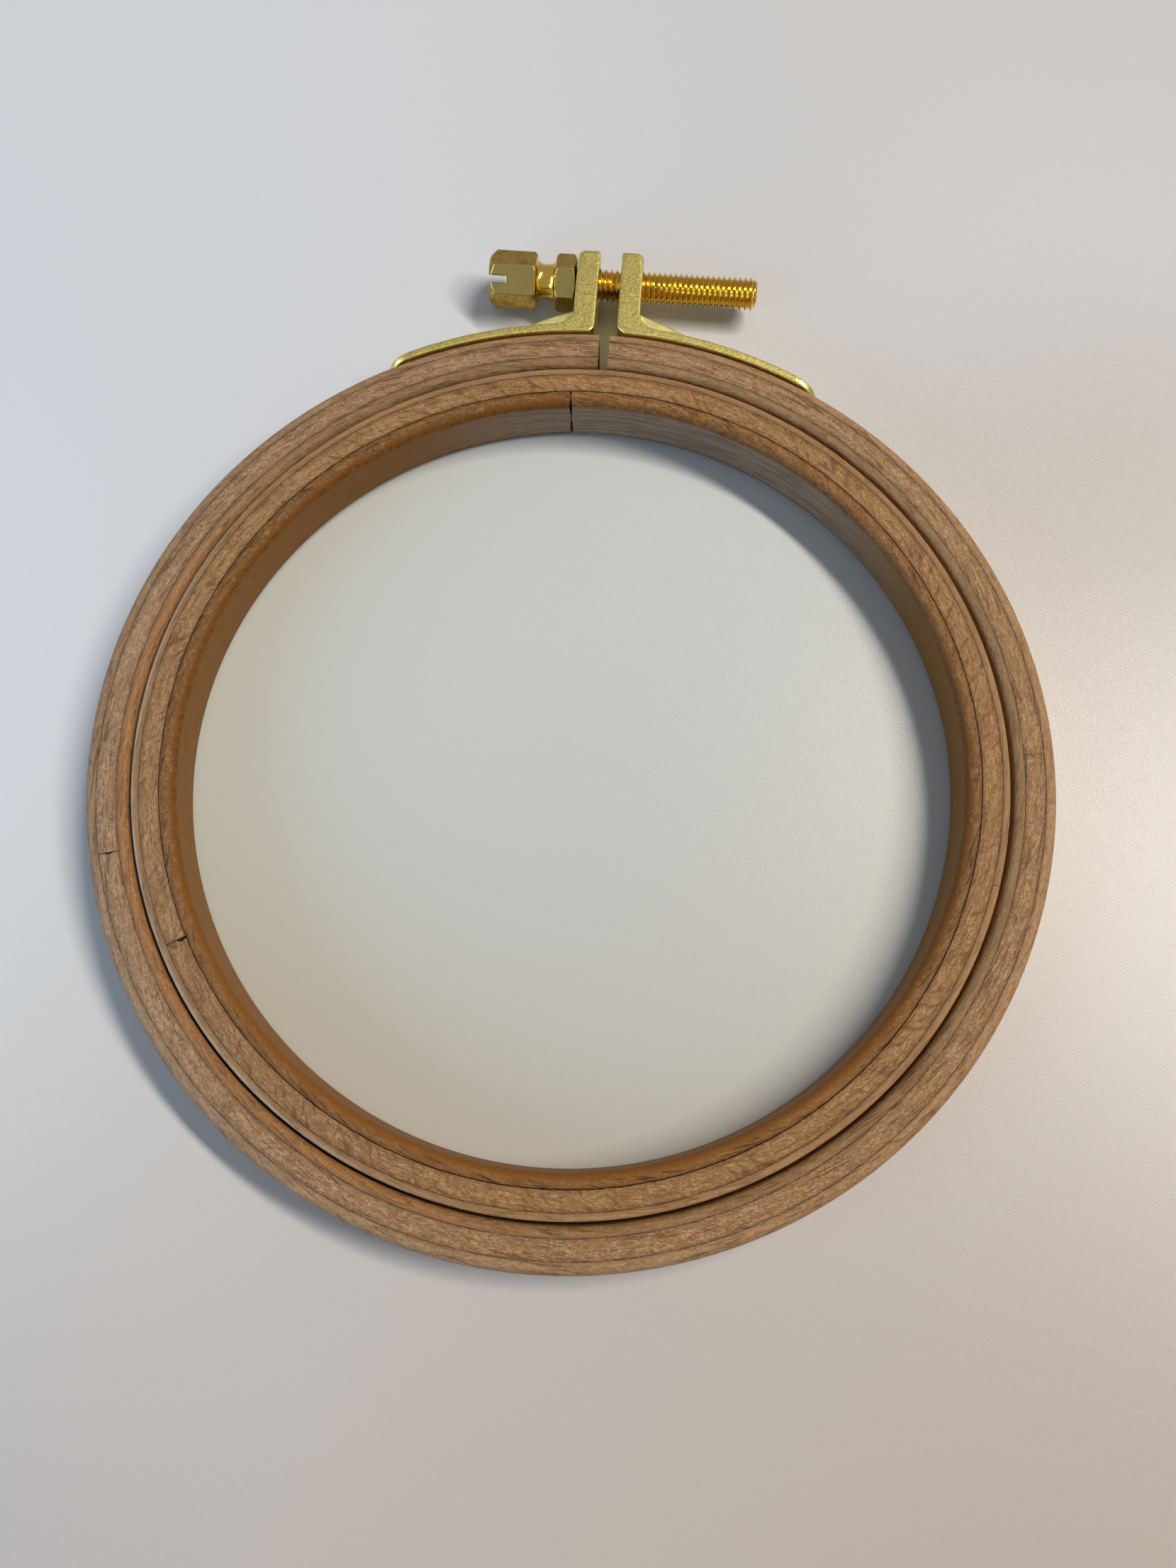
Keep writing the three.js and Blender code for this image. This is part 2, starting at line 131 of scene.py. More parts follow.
def even(scale: float) -> Triple:
    """The same scale in all three directions."""
    return (scale, scale, scale)


class Value:
    """A number that varies over a surface, with arithmetic that adds its Math nodes."""

    def __init__(self, shader: "Shader", socket: Socket) -> None:
        """Wraps one output socket of a shader's node."""
        self.shader = shader
        self.socket = socket

    def __add__(self, other: "Value | float") -> "Value":
        """Sum."""
        return self.shader.math("ADD", self, other)

    __radd__ = __add__

    def __sub__(self, other: "Value | float") -> "Value":
        """Difference."""
        return self.shader.math("SUBTRACT", self, other)

    def __rsub__(self, other: float) -> "Value":
        """Difference from a number."""
        return self.shader.math("SUBTRACT", other, self)

    def __mul__(self, other: "Value | float") -> "Value":
        """Product."""
        return self.shader.math("MULTIPLY", self, other)

    __rmul__ = __mul__

    def __abs__(self) -> "Value":
        """Size without its sign."""
        return self.shader.math("ABSOLUTE", self)

    def most(self, other: "Value | float") -> "Value":
        """The larger of two values."""
        return self.shader.math("MAXIMUM", self, other)

    def ramp(self, low: float, high: float) -> "Value":
        """Eases from 0 at low to 1 at high. With high under low it falls instead."""
        start, end = (low, high) if low < high else (high, low)
        targets = (0.0, 1.0) if low < high else (1.0, 0.0)
        inputs = {0: self, 1: start, 2: end, 3: targets[0], 4: targets[1]}
        node = self.shader.node("ShaderNodeMapRange", {"interpolation_type": "SMOOTHSTEP"}, inputs)
        return Value(self.shader, node.outputs[0])


Link = Value | Socket | float | Colour


class Shader:
    """A material being built: its node tree, with short ways to add the nodes used here."""

    def __init__(self, name: str) -> None:
        """Starts a material with a single Principled surface."""
        self.material = bpy.data.materials.new(name)
        self.material.use_nodes = True
        self.tree = self.material.node_tree
        self.surface = self.tree.nodes["Principled BSDF"]

    def node(self, kind: str, settings: dict | None = None, inputs: dict | None = None) -> bpy.types.Node:
        """Adds a node.

        Args:
            kind: The node's type.
            settings: Its properties, set first.
            inputs: Its sockets by name or number, each given a link or a value.

        Returns:
            The new node.
        """
        made = self.tree.nodes.new(kind)
        for name, value in (settings or {}).items():
            setattr(made, name, value)
        for key, value in (inputs or {}).items():
            self.feed(made.inputs[key], value)
        return made

    def feed(self, socket: Socket, value: Link) -> None:
        """Links a value to a socket, or sets it there when it is a constant."""
        if isinstance(value, Value):
            self.tree.links.new(value.socket, socket)
        elif isinstance(value, Socket):
            self.tree.links.new(value, socket)
        elif isinstance(value, tuple) and socket.type == "RGBA":
            socket.default_value = (*value, 1.0)
        else:
            socket.default_value = value

    def math(self, operation: str, first: Link, second: Link = 0.0) -> Value:
        """One Math node."""
        node = self.node("ShaderNodeMath", {"operation": operation}, {0: first, 1: second})
        return Value(self, node.outputs[0])

    def stretch(self, vector: Socket, by: Triple, shift: Triple = (0.0, 0.0, 0.0)) -> Socket:
        """A vector multiplied and then shifted, each by three numbers."""
        settings = {"operation": "MULTIPLY_ADD"}
        return self.node("ShaderNodeVectorMath", settings, {0: vector, 1: by, 2: shift}).outputs[0]

    def vector(self, x: Link, y: Link, z: Link) -> Socket:
        """A vector from three values."""
        return self.node("ShaderNodeCombineXYZ", None, {0: x, 1: y, 2: z}).outputs[0]

    def parts(self, vector: Socket) -> tuple[Value, Value, Value]:
        """The three parts of a vector."""
        node = self.node("ShaderNodeSeparateXYZ", None, {0: vector})
        return tuple(Value(self, socket) for socket in node.outputs)

    def noise(self, vector: Socket, detail: float = 2.0, rough: float = 0.5) -> Value:
        """Noise with features about one unit of the vector wide."""
        inputs = {"Vector": vector, "Scale": 1.0, "Detail": detail, "Roughness": rough}
        return Value(self, self.node("ShaderNodeTexNoise", None, inputs).outputs[0])

    def pattern(self, vector: Socket, scale: Triple, shift: Triple = (0.0, 0.0, 0.0),
                detail: float = 3.0, rough: float = 0.6) -> Value:
        """Noise with as many features per unit of the vector as scale says."""
        return self.noise(self.stretch(vector, scale, shift), detail, rough)

    def mix(self, factor: Link, first: Link, second: Link, blend: str = "MIX") -> Socket:
        """One colour laid over another."""
        settings = {"data_type": "RGBA", "blend_type": blend}
        return self.node("ShaderNodeMix", settings, {0: factor, 6: first, 7: second}).outputs[2]

    def tint(self, factor: Link, colour: Link, by: Colour) -> Socket:
        """A colour multiplied by another."""
        return self.mix(factor, colour, by, "MULTIPLY")

    def strip(self) -> Socket:
        """A ply's own coordinates in millimetres: along it, out from the centre, and up."""
        return self.node("ShaderNodeAttribute", {"attribute_name": STRIP}).outputs["Vector"]

    def place(self) -> Socket:
        """Object coordinates in millimetres."""
        socket = self.node("ShaderNodeTexCoord").outputs["Object"]
        return self.stretch(socket, even(1 / MM))

    def set(self, **inputs: Link) -> None:
        """Feeds the surface's sockets, named with _ for a space."""
        for name, value in inputs.items():
            self.feed(self.surface.inputs[name.replace("_", " ")], value)

    def relief(self, height: Value, depth: float) -> None:
        """Raises the surface by a height from 0 to 1, depth in millimetres."""
        bump = self.node("ShaderNodeBump", None, {"Strength": 1.0, "Distance": depth * MM, "Height": height})
        self.feed(self.surface.inputs["Normal"], bump.outputs[0])


class Spot:
    """Where a shader is on a strip of wood, in millimetres."""

    def __init__(self, shader: Shader, slope: float) -> None:
        """Reads the strip's coordinates, for grain that runs out of the strip by a slope."""
        self.shader = shader
        self.strip = shader.strip()
        self.along, self.out, self.up = shader.parts(self.strip)
        self.across = self.out - self.along * slope

    def noise(self, scale: Triple, shift: Triple, detail: float = 3.0, rough: float = 0.6) -> Value:
        """Noise with as many features per millimetre of the strip as scale says."""
        return self.shader.pattern(self.strip, scale, shift, detail, rough)

    def between(self, start: tuple[float, float], end: tuple[float, float]) -> Value:
        """Eases in over the first pair of places along the strip and out over the second."""
        return self.along.ramp(*start) * self.along.ramp(*reversed(end))


@dataclass(frozen=True)
class Beech:
    """The look of one ply of beech. Sizes are in millimetres and amounts from 0 to 1."""

    name: str
    tone: Colour
    shade: Colour
    fleck: Colour
    seed: float
    slope: float = 0.09
    flecks: float = 0.5
    streaks: float = 0.6
    cracks: tuple[float, ...] = ()
    rays: float = 0.0
    ray: Colour = rgb(118, 71, 31)
    glue_lines: tuple[float, ...] = ()
    glue: float = 0.7
    glue_width: float = 0.1
    glue_wander: float = 0.22
    glue_colour: Colour = rgb(44, 26, 14)
    glue_halo_width: float = 0.6
    warm: Colour = rgb(162, 108, 53)
    warm_from: tuple[float, float] | None = None
    warm_to: tuple[float, float] | None = None
    # With an outer reach set, the warmer stretch becomes a painted highlight on the outer rims.
    painted_highlight_out: float = 0.0
    edge: tuple[float, float] | None = None
    dark_by: float = 0.72
    pore_by: float = 0.42
    curl_by: float = 1.15
    crack_width: float = 0.09
    crack_wander: float = 1.6
    crack_depth: float = 0.45
    ray_way: tuple[float, float] = (0.69, 0.72)
    rough: float = 0.48
    rough_more: float = 0.2
    shine: float = 0.3
    relief: float = 0.06
    # Painted light: the wood is tinted bluer towards the left of the table, where cool light falls.
    painted_cool_light: Colour = (0.94, 1.0, 1.14)
    painted_cool_light_from: tuple[float, float] = (30.0, -60.0)

    def material(self) -> bpy.types.Material:
        """Builds the ply's material on its strip coordinates.

        Returns:
            The material, with grain that follows the strip round the ring.
        """
        shader = Shader(self.name)
        spot = Spot(shader, self.slope)
        mottle = self.grain(spot, Figure.MOTTLE)
        stipple = self.grain(spot, Figure.STIPPLE)
        curls = self.curls(spot)
        dark = toned(self.shade, self.dark_by)

        colour = self.ground(spot)
        colour = shader.mix(mottle.ramp(0.52, 0.68) * self.flecks * 0.85, colour, self.fleck)
        colour = shader.mix(mottle.ramp(0.47, 0.31) * self.flecks * 0.95, colour, dark)
        colour = shader.mix(stipple.ramp(0.52, 0.66) * self.flecks * 0.9, colour, self.fleck)
        colour = shader.mix(stipple.ramp(0.47, 0.33) * self.flecks, colour, dark)
        colour = shader.mix(curls * self.flecks * 0.9, colour, toned(self.fleck, self.curl_by))
        if self.rays > 0:
            colour = self.lay_rays(spot, colour)
        colour = self.lay_wall(spot, colour)
        pores = self.pores(spot)
        colour = shader.mix(pores * self.streaks, colour, toned(self.shade, self.pore_by))
        if self.edge is not None:
            colour = shader.mix(spot.out.ramp(*self.edge) * 0.12, colour, dark)
        # Darker beside the glue lines.
        colour = shader.mix(self.beside_glue(spot.out, self.glue_halo_width, 0.1) * 0.3, colour, dark)
        joint = self.glue_mask(spot)
        for place in self.cracks:
            joint = joint.most(self.crack(spot, place) * self.crack_depth)
        colour = shader.mix(joint, colour, self.glue_colour)
        # Painted light: a bluer tint towards the left, where cool light falls.
        painted_cool_light = shader.parts(shader.place())[0].ramp(*self.painted_cool_light_from)
        colour = shader.tint(painted_cool_light, colour, self.painted_cool_light)

        shader.set(Base_Color=colour, Roughness=stipple * self.rough_more + self.rough, IOR=1.45)
        shader.set(Specular_IOR_Level=self.shine)
        height = stipple * 0.5 + mottle * 0.6 + curls * 0.25 - pores * 0.6 - joint * 1.2
        shader.relief(height, self.relief)
        return shader.material

    def grain(self, spot: Spot, figure: Figure) -> Value:
        """One of the wood's patterns, drawn out along the grain and different on each ply."""
        scale, detail = figure.value
        shift = (self.seed * 37.0, self.seed * 11.0, self.seed * 5.0)
        vector = spot.shader.vector(spot.along, spot.across, spot.up)
        return spot.shader.pattern(vector, scale, shift, detail)

    def ground(self, spot: Spot) -> Socket:
        """The wood's broad tones: slow drift, growth bands and a warmer stretch, which is a painted
        highlight where it is kept to the outer rims.
        """
        shader = spot.shader
        drift = self.grain(spot, Figure.DRIFT)
        bands = self.grain(spot, Figure.BANDS)
        colour = shader.mix(drift.ramp(0.35, 0.68) * 0.4, self.tone, self.shade)
        colour = shader.mix(bands.ramp(0.5, 0.34) * 0.55, colour, self.shade)
        colour = shader.mix(bands.ramp(0.56, 0.7) * 0.25, colour, self.fleck)
        if self.warm_from is None:
            return colour
        warm = spot.between(self.warm_from, self.warm_to)
        # Painted highlight: the stretch is kept to the outer top and bottom rims.
        if self.painted_highlight_out > 0:
            highlight_rim = abs(spot.up - MID_HEIGHT).ramp(MID_HEIGHT - 0.9, MID_HEIGHT - 0.3)
            warm = warm * spot.out.ramp(self.painted_highlight_out, self.painted_highlight_out + 0.35) * highlight_rim
        base = shader.mix(bands.ramp(0.54, 0.36) * 0.35, self.warm, self.shade)
        return shader.mix(warm * 0.85, colour, base)

    def curls(self, spot: Spot) -> Value:
        """The thin light curls that sanding raises on worn beech."""
        lines = self.grain(spot, Figure.CURLS)
        where = self.grain(spot, Figure.CURLED_PLACES)
        return abs(lines - 0.5).ramp(0.06, 0.015) * where.ramp(0.42, 0.58)

    def pores(self, spot: Spot) -> Value:
        """The thin dark lines, a few millimetres long, of the wood's vessels."""
        lines = self.grain(spot, Figure.PORES)
        where = self.grain(spot, Figure.PORED_PLACES)
        return abs(lines - 0.5).ramp(0.045, 0.01) * where.ramp(0.5, 0.58)

    def crack(self, spot: Spot, place: float) -> Value:
        """A hairline crack across the strip, at a place in millimetres along it."""
        wander = spot.noise((0.0, 1.3, 1.3), (self.seed, 5.0, 2.0))
        return abs(spot.along - place + (wander - 0.5) * self.crack_wander).ramp(self.crack_width, 0.02)

    def lay_rays(self, spot: Spot, colour: Link) -> Socket:
        """Lays the brown slanting ray flecks of quarter-cut beech over a colour."""
        shader = spot.shader
        level, rise = self.ray_way
        down = spot.along * level + spot.out * rise
        over = spot.out * level - spot.along * rise
        slant = shader.vector(down * 0.38 + self.seed, over * 1.35, spot.up * 0.5)
        strokes = shader.noise(slant, 2.0, 0.5)
        groups = shader.noise(shader.vector(spot.along * 0.15, spot.out * 0.2, self.seed), 1.0, 0.5)
        mask = strokes.ramp(0.54, 0.65) * groups.ramp(0.36, 0.5)
        return shader.mix(mask * self.rays, colour, self.ray)

    def lay_wall(self, spot: Spot, colour: Link) -> Socket:
        """Leaves the colour as it is: most plies have no wall of their own."""
        return colour

    def beside_glue(self, out: Value, width: float, core: float) -> Value:
        """1 near a glue line, easing to 0 at a width from it."""
        return reduce(Value.most, [abs(out - radius).ramp(width, core) for radius in self.glue_lines])

    def glue_mask(self, spot: Spot) -> Value:
        """The glue lines beside the ply: thin, a little wavy, and faint in places."""
        wave = spot.noise((0.45, 0.0, 0.0), (self.seed, 7.0, 0.0))
        broken = spot.noise((0.3, 0.0, 0.0), (self.seed, 2.0, 4.0)).ramp(0.35, 0.55) * 0.6 + 0.4
        dashes = spot.noise((1.6, 0.0, 0.0), (self.seed, 3.0, 6.0)).ramp(0.38, 0.52) * 0.55 + 0.45
        mask = self.beside_glue(spot.out + (wave - 0.5) * self.glue_wander, self.glue_width, 0.02)
        return mask * broken * dashes * self.glue


@dataclass(frozen=True)
class ThroatBeech(Beech):
    """The look of the inner ring's innermost ply, with its smooth wall and scorched line."""

    throat: float = 45.63
    round: float = 1.15
    wall: Colour = rgb(131, 87, 34)
    wall_grey: Colour = rgb(150, 128, 106)
    grey_from: float = 235.0
    grey_start: tuple[float, float] = (24.0, 2.0)
    scorch: Colour = rgb(122, 72, 10)
    ember: Colour = rgb(142, 90, 30)
    ember_from: tuple[float, float] = (70.0, 110.0)
    ember_to: tuple[float, float] = (175.0, 205.0)
    flare: float = 2.6
    wander: float = 0.9
    dark_lines: Colour = (0.66, 0.62, 0.56)
    dark_streaks: Colour = (0.62, 0.58, 0.54)
    light_lines: Colour = (1.35, 1.38, 1.4)
    pale: Colour = (1.16, 1.2, 1.26)

    def pores(self, spot: Spot) -> Value:
        """The wood's vessels, which the smooth wall doesn't show."""
        return super().pores(spot) * spot.out.ramp(self.throat + 0.6, self.throat + 1.0)

    def smooth_wall(self, spot: Spot) -> Socket:
        """The wall's colour: brown, grey towards the strip's ends, with fine streaks."""
        shader = spot.shader
        grey = spot.along.ramp(self.grey_from, self.grey_from + 25.0)
        grey = grey.most(spot.along.ramp(*self.grey_start) * 0.8)
        wall = shader.mix(grey, self.wall, self.wall_grey)
        fine = spot.noise((0.45, 3.0, 3.4), (self.seed, 1.0, 2.0), 4.0, 0.65)
        wall = shader.mix(fine.ramp(0.5, 0.62) * 0.5, wall, shader.tint(1.0, wall, self.dark_lines))
        streak = spot.noise((0.1, 2.0, 2.6), (self.seed, 1.0, 2.0), 4.0, 0.65)
        streaked = streak.ramp(0.44, 0.56) * grey * 0.75
        wall = shader.mix(streaked, wall, shader.tint(1.0, wall, self.dark_streaks))
        light = spot.noise((0.5, 3.0, 3.4), (self.seed, 8.0, 3.0))
        return shader.mix(light.ramp(0.52, 0.7) * 0.35, wall, shader.tint(1.0, wall, self.light_lines))

    def lay_wall(self, spot: Spot, colour: Link) -> Socket:
        """Lays the throat's wall and the scorched line where its round begins."""
        shader = spot.shader
        wander = spot.noise((0.22, 0.5, 0.0), (self.seed, 0.0, 0.0))
        reach = abs(spot.up - MID_HEIGHT) + (wander - 0.5) * self.wander
        edge = MID_HEIGHT - self.round
        inside = spot.out.ramp(self.throat + 1.0, self.throat + 0.6)
        colour = shader.mix(reach.ramp(edge + 0.5, edge - 0.15) * inside, colour, self.smooth_wall(spot))
        flame = spot.noise((1.5, 1.4, 0.8), (self.seed, 4.0, 1.0), 4.0)
        tip = reach + (flame - 0.5) * self.flare
        line = reach.ramp(edge - 0.3, edge + 0.25) * tip.ramp(edge + 1.25, edge + 0.85) * inside
        line = line * (1 - spot.along.ramp(self.grey_from - 15.0, self.grey_from + 15.0) * 0.85)
        colour = shader.mix(line * flame.ramp(0.2, 0.42), colour, self.scorch)
        colour = shader.mix(line * flame.ramp(0.48, 0.62) * 0.9, colour, toned(self.scorch, 0.62))
        ember = spot.between(self.ember_from, self.ember_to) * (inside * 0.3 + 0.7)
        colour = shader.mix(ember * 0.5, colour, self.ember)
        pale = spot.along.ramp(self.grey_from - 25.0, self.grey_from + 5.0)
        return shader.tint(pale * spot.out.ramp(self.throat + 0.3, self.throat + 0.9), colour, self.pale)


@dataclass
class Coat:
    """A metal's look while it is laid on: its marks, its colour and its roughness."""

    shader: Shader
    place: Socket
    patches: Value
    marks: Value
    colour: Link
    rough: Value


@dataclass(frozen=True)
class Brass:
    """The look of a brass part. Sizes are in millimetres and amounts from 0 to 1."""

    name: str
    metal: Colour
    tarnish: Colour
    bright: Colour
    polish: float
    dull: float
    grain: float
    relief: float
    patches: Triple = (0.55, 0.7, 0.7)
    marks: Triple = (2.3, 2.6, 2.2)
    sparkle: float = 4.5

    def material(self) -> bpy.types.Material:
        """Builds the metal's material on Object coordinates.

        Returns:
            The material, with patches of tarnish, fine grain, its own wear and any painted sheen.
        """
        shader = Shader(self.name)
        place = shader.place()
        patches = shader.pattern(place, self.patches, detail=4.0).ramp(0.38, 0.66)
        grain = shader.pattern(place, even(self.grain))
        marks = shader.pattern(place, self.marks, (4.0, 1.0, 9.0), 4.0, 0.65).ramp(0.62, 0.75)
        dirt = patches * 0.75 + marks * 0.35
        colour = shader.mix(dirt, self.metal, self.tarnish)
        sparkle = shader.pattern(place, even(self.sparkle), (2.0, 6.0, 1.0), rough=0.65)
        colour = shader.mix(sparkle.ramp(0.5, 0.66) * 0.75, colour, toned(self.metal, 1.35))
        colour = shader.mix(sparkle.ramp(0.48, 0.34) * 0.75, colour, toned(self.tarnish, 0.6))
        rough = dirt * (self.dull - self.polish) + self.polish
        coat = Coat(shader, place, patches, marks, colour, rough)
        self.wear_and_sheen(coat)
        shader.set(Base_Color=coat.colour, Metallic=1.0, Roughness=coat.rough + (grain - 0.5) * 0.12)
        shader.relief(grain * 0.7 + marks * 0.3, self.relief)
        return shader.material

    def wear_and_sheen(self, coat: Coat) -> None:
        """Changes the coat for wear and painted sheen: nowhere on plain brass."""


@dataclass(frozen=True)
class CastBrass(Brass):
    """Brass cast in sand, its rims polished by handling and given a painted highlight, its lower parts
    lightened by a painted sheen.
    """

    # The level of the rounded rims, which get a painted highlight.
    highlight_rim: float = 3.7
    painted_sheen_under: float = 5.4

    def wear_and_sheen(self, coat: Coat) -> None:
        """Lays the painted sheen on the lower parts, and the polished rims with their painted highlight."""
        shader = coat.shader
        _, _, z = shader.parts(coat.place)
        # Painted sheen: below this level the brass, the rib above all, is lightened as if it mirrored
        # something bright.
        painted_sheen = z.ramp(self.painted_sheen_under + 0.2, self.painted_sheen_under)
        coat.colour = shader.mix(painted_sheen * 0.75, coat.colour, self.bright)
        # Painted highlight: a lighter band along the rounded top edges, which are also made less rough.
        level = abs(z - MID_HEIGHT)
        highlight_rim = level.ramp(self.highlight_rim - 0.32, self.highlight_rim - 0.2) * level.ramp(self.highlight_rim - 0.02, self.highlight_rim - 0.1)
        coat.colour = shader.mix(highlight_rim * 0.9, coat.colour, toned(self.metal, 1.5))
        coat.rough = coat.rough - highlight_rim * (coat.rough - self.polish * 0.7)


@dataclass(frozen=True)
class TurnedBrass(Brass):
    """Brass turned on a lathe, clean in the groove and on the thread, dull on the top flat."""

    thread_from: float = -4.0
    groove: tuple[float, float] = (-9.7, -7.0)
    flat_turn: float = 36.0
    flat_axis: float = 59.09
    flat_reach: tuple[float, float] = (2.9, 3.06)
    flat_colour: Colour = rgb(180, 166, 108)

    def wear_and_sheen(self, coat: Coat) -> None:
        """Lays the dull top flat, and the clean metal of the groove and the thread."""
        shader = coat.shader
        x, y, z = shader.parts(coat.place)
        turn = math.radians(self.flat_turn)
        out = (z - MID_HEIGHT) * math.cos(turn) - (y - self.flat_axis) * math.sin(turn)
        facing = (out + (coat.marks - 0.5) * 0.1).ramp(*self.flat_reach)
        flat = shader.mix(coat.patches * 0.35 + coat.marks * 0.6, self.flat_colour, self.tarnish)
        coat.colour = shader.mix(facing * 0.85, coat.colour, flat)
        clean = x.ramp(self.thread_from - 0.05, self.thread_from + 0.05)
        left, right = self.groove
        grooved = x.ramp(left - 0.05, left + 0.05) * x.ramp(right + 0.05, right - 0.05)
        clean = clean.most(grooved * 0.9)
        coat.colour = shader.mix(clean * 0.92, coat.colour, self.bright)
        coat.rough = coat.rough - clean * (self.dull - self.polish) * 0.9


@contextmanager
def edit_mode(piece: Piece, mode: str = "VERT") -> Iterator[None]:
    """Opens a piece in edit mode with nothing selected, and closes it afterwards.

    Args:
        piece: The mesh object to edit.
        mode: VERT, EDGE or FACE.

    Yields:
        Nothing.
    """
    Bench.pick(piece)
    bpy.ops.object.mode_set(mode="EDIT")
    bpy.ops.mesh.select_mode(type=mode)
    bpy.ops.mesh.select_all(action="DESELECT")
    yield
    bpy.ops.object.mode_set(mode="OBJECT")


class Bench:
    """The steps of modelling by hand that the pieces share."""

    @staticmethod
    def pick(*pieces: Piece) -> None:
        """Selects these pieces alone and makes the first one active."""
        bpy.ops.object.select_all(action="DESELECT")
        for piece in pieces:
            piece.select_set(True)
        bpy.context.view_layer.objects.active = pieces[0]

    @staticmethod
    def settle(piece: Piece) -> Piece:
        """Applies a piece's place, turn and scale to its mesh."""
        Bench.pick(piece)
        bpy.ops.object.transform_apply(location=True, rotation=True, scale=True)
        return piece

    @staticmethod
    def fresh(name: str, add: Callable, **settings: object) -> Piece:
        """Adds one of Blender's basic meshes with these settings."""
        bpy.ops.object.select_all(action="DESELECT")
        add(**settings)
        piece = bpy.context.active_object
        piece.name = name
        return piece

    @staticmethod
    def box(name: str, low: Vector, high: Vector) -> Piece:
        """A box between two corners."""
        piece = Bench.fresh(name, bpy.ops.mesh.primitive_cube_add, size=1, location=(low + high) / 2)
        piece.scale = high - low
        return Bench.settle(piece)

    @staticmethod
    def cylinder(name: str, centre: Vector, radius: float, length: float, axis: str = "Z",
                 sides: int = ROUND) -> Piece:
        """A cylinder along X or Z about its centre."""
        turn = (0, math.pi / 2, 0) if axis == "X" else (0, 0, 0)
        piece = Bench.fresh(name, bpy.ops.mesh.primitive_cylinder_add, vertices=sides, radius=radius,
                            depth=length, location=centre, rotation=turn)
        return Bench.settle(piece)

    @staticmethod
    def line(name: str, points: list[Vector]) -> Piece:
        """Draws an open line by extruding one vertex from point to point."""
        piece = Bench.fresh(name, bpy.ops.mesh.primitive_plane_add, size=1)
        with edit_mode(piece):
            bpy.ops.mesh.select_all(action="SELECT")
            bpy.ops.mesh.merge(type="CENTER")
            bpy.ops.transform.translate(value=points[0])
            for here, there in pairwise(points):
                bpy.ops.mesh.extrude_vertices_move(TRANSFORM_OT_translate={"value": there - here})
        return piece

    @staticmethod
    def select(piece: Piece, test: Callable[[Vector], bool]) -> None:
        """Selects in edit mode the vertices whose place passes a test."""
        shape = bmesh.from_edit_mesh(piece.data)
        for vertex in shape.verts:
            vertex.select_set(test(vertex.co))
        shape.select_flush(True)
        bmesh.update_edit_mesh(piece.data)

    @staticmethod
    def select_edges(piece: Piece, test: Callable[[Vector, Vector], bool]) -> None:
        """Selects in edit mode the edges whose two ends pass a test."""
        shape = bmesh.from_edit_mesh(piece.data)
        for edge in shape.edges:
            edge.select_set(test(edge.verts[0].co, edge.verts[1].co))
        bmesh.update_edit_mesh(piece.data)

    @staticmethod
    def round_edges(piece: Piece, test: Callable[[Vector, Vector], bool], radius: float, steps: int) -> None:
        """Rounds the edges that pass a test."""
        with edit_mode(piece, "EDGE"):
            Bench.select_edges(piece, test)
            bpy.ops.mesh.bevel(offset=radius, segments=steps, profile=0.5, affect="EDGES")

    @staticmethod
    def turn(piece: Piece, steps: int, axis: Vector, centre: Vector) -> Piece:
        """Turns a profile once round an axis and closes it."""
        with edit_mode(piece):
            bpy.ops.mesh.select_all(action="SELECT")
            bpy.ops.mesh.spin(steps=steps, angle=math.tau, center=centre, axis=axis)
            Bench.outwards(SAME)
        return piece

    @staticmethod
    def outwards(gap: float = 0.0) -> None:
        """Turns every face outwards in edit mode, once vertices within a gap are merged."""
        bpy.ops.mesh.select_all(action="SELECT")
        if gap > 0:
            bpy.ops.mesh.remove_doubles(threshold=gap)
        bpy.ops.mesh.normals_make_consistent(inside=False)

    @staticmethod
    def modify(piece: Piece, kind: str, **settings: object) -> None:
        """Gives a piece a modifier with these settings and applies it."""
        Bench.pick(piece)
        modifier = piece.modifiers.new(kind, kind)
        for name, value in settings.items():
            setattr(modifier, name, value)
        bpy.ops.object.modifier_apply(modifier=modifier.name)

    @staticmethod
    def combine(piece: Piece, tool: Piece, operation: str) -> Piece:
        """Cuts, joins or intersects a piece with a tool, which is then removed."""
        Bench.modify(piece, "BOOLEAN", operation=operation, solver="EXACT", object=tool)
        bpy.data.objects.remove(tool)
        return piece

    @staticmethod
    def join(name: str, pieces: list[Piece]) -> Piece:
        """Makes several pieces one object."""
        Bench.pick(*pieces)
        bpy.ops.object.join()
        piece = bpy.context.active_object
        piece.name = name
        return piece

    @staticmethod
    def cast(piece: Piece, voxel: float, softness: int) -> Piece:
        """Gives a sharp solid the even skin and the soft edges of a casting."""
        Bench.modify(piece, "REMESH", mode="VOXEL", voxel_size=voxel)
        Bench.modify(piece, "SMOOTH", factor=0.5, iterations=softness)
        return piece

    @staticmethod
    def finish(piece: Piece, centre: Vector, angle: float = 30.0) -> Piece:
        """Moves a piece to its place, makes it metres and smooths its round faces.

        Args:
            piece: The piece, in millimetres about its own centre.
            centre: Where that centre goes, in millimetres.
            angle: Edges sharper than this many degrees stay sharp.

        Returns:
            The piece, with its object at the origin.
        """
        piece.location = centre * MM
        piece.scale = (MM, MM, MM)
        Bench.settle(piece)
        bpy.ops.object.shade_smooth_by_angle(angle=math.radians(angle))
        return piece


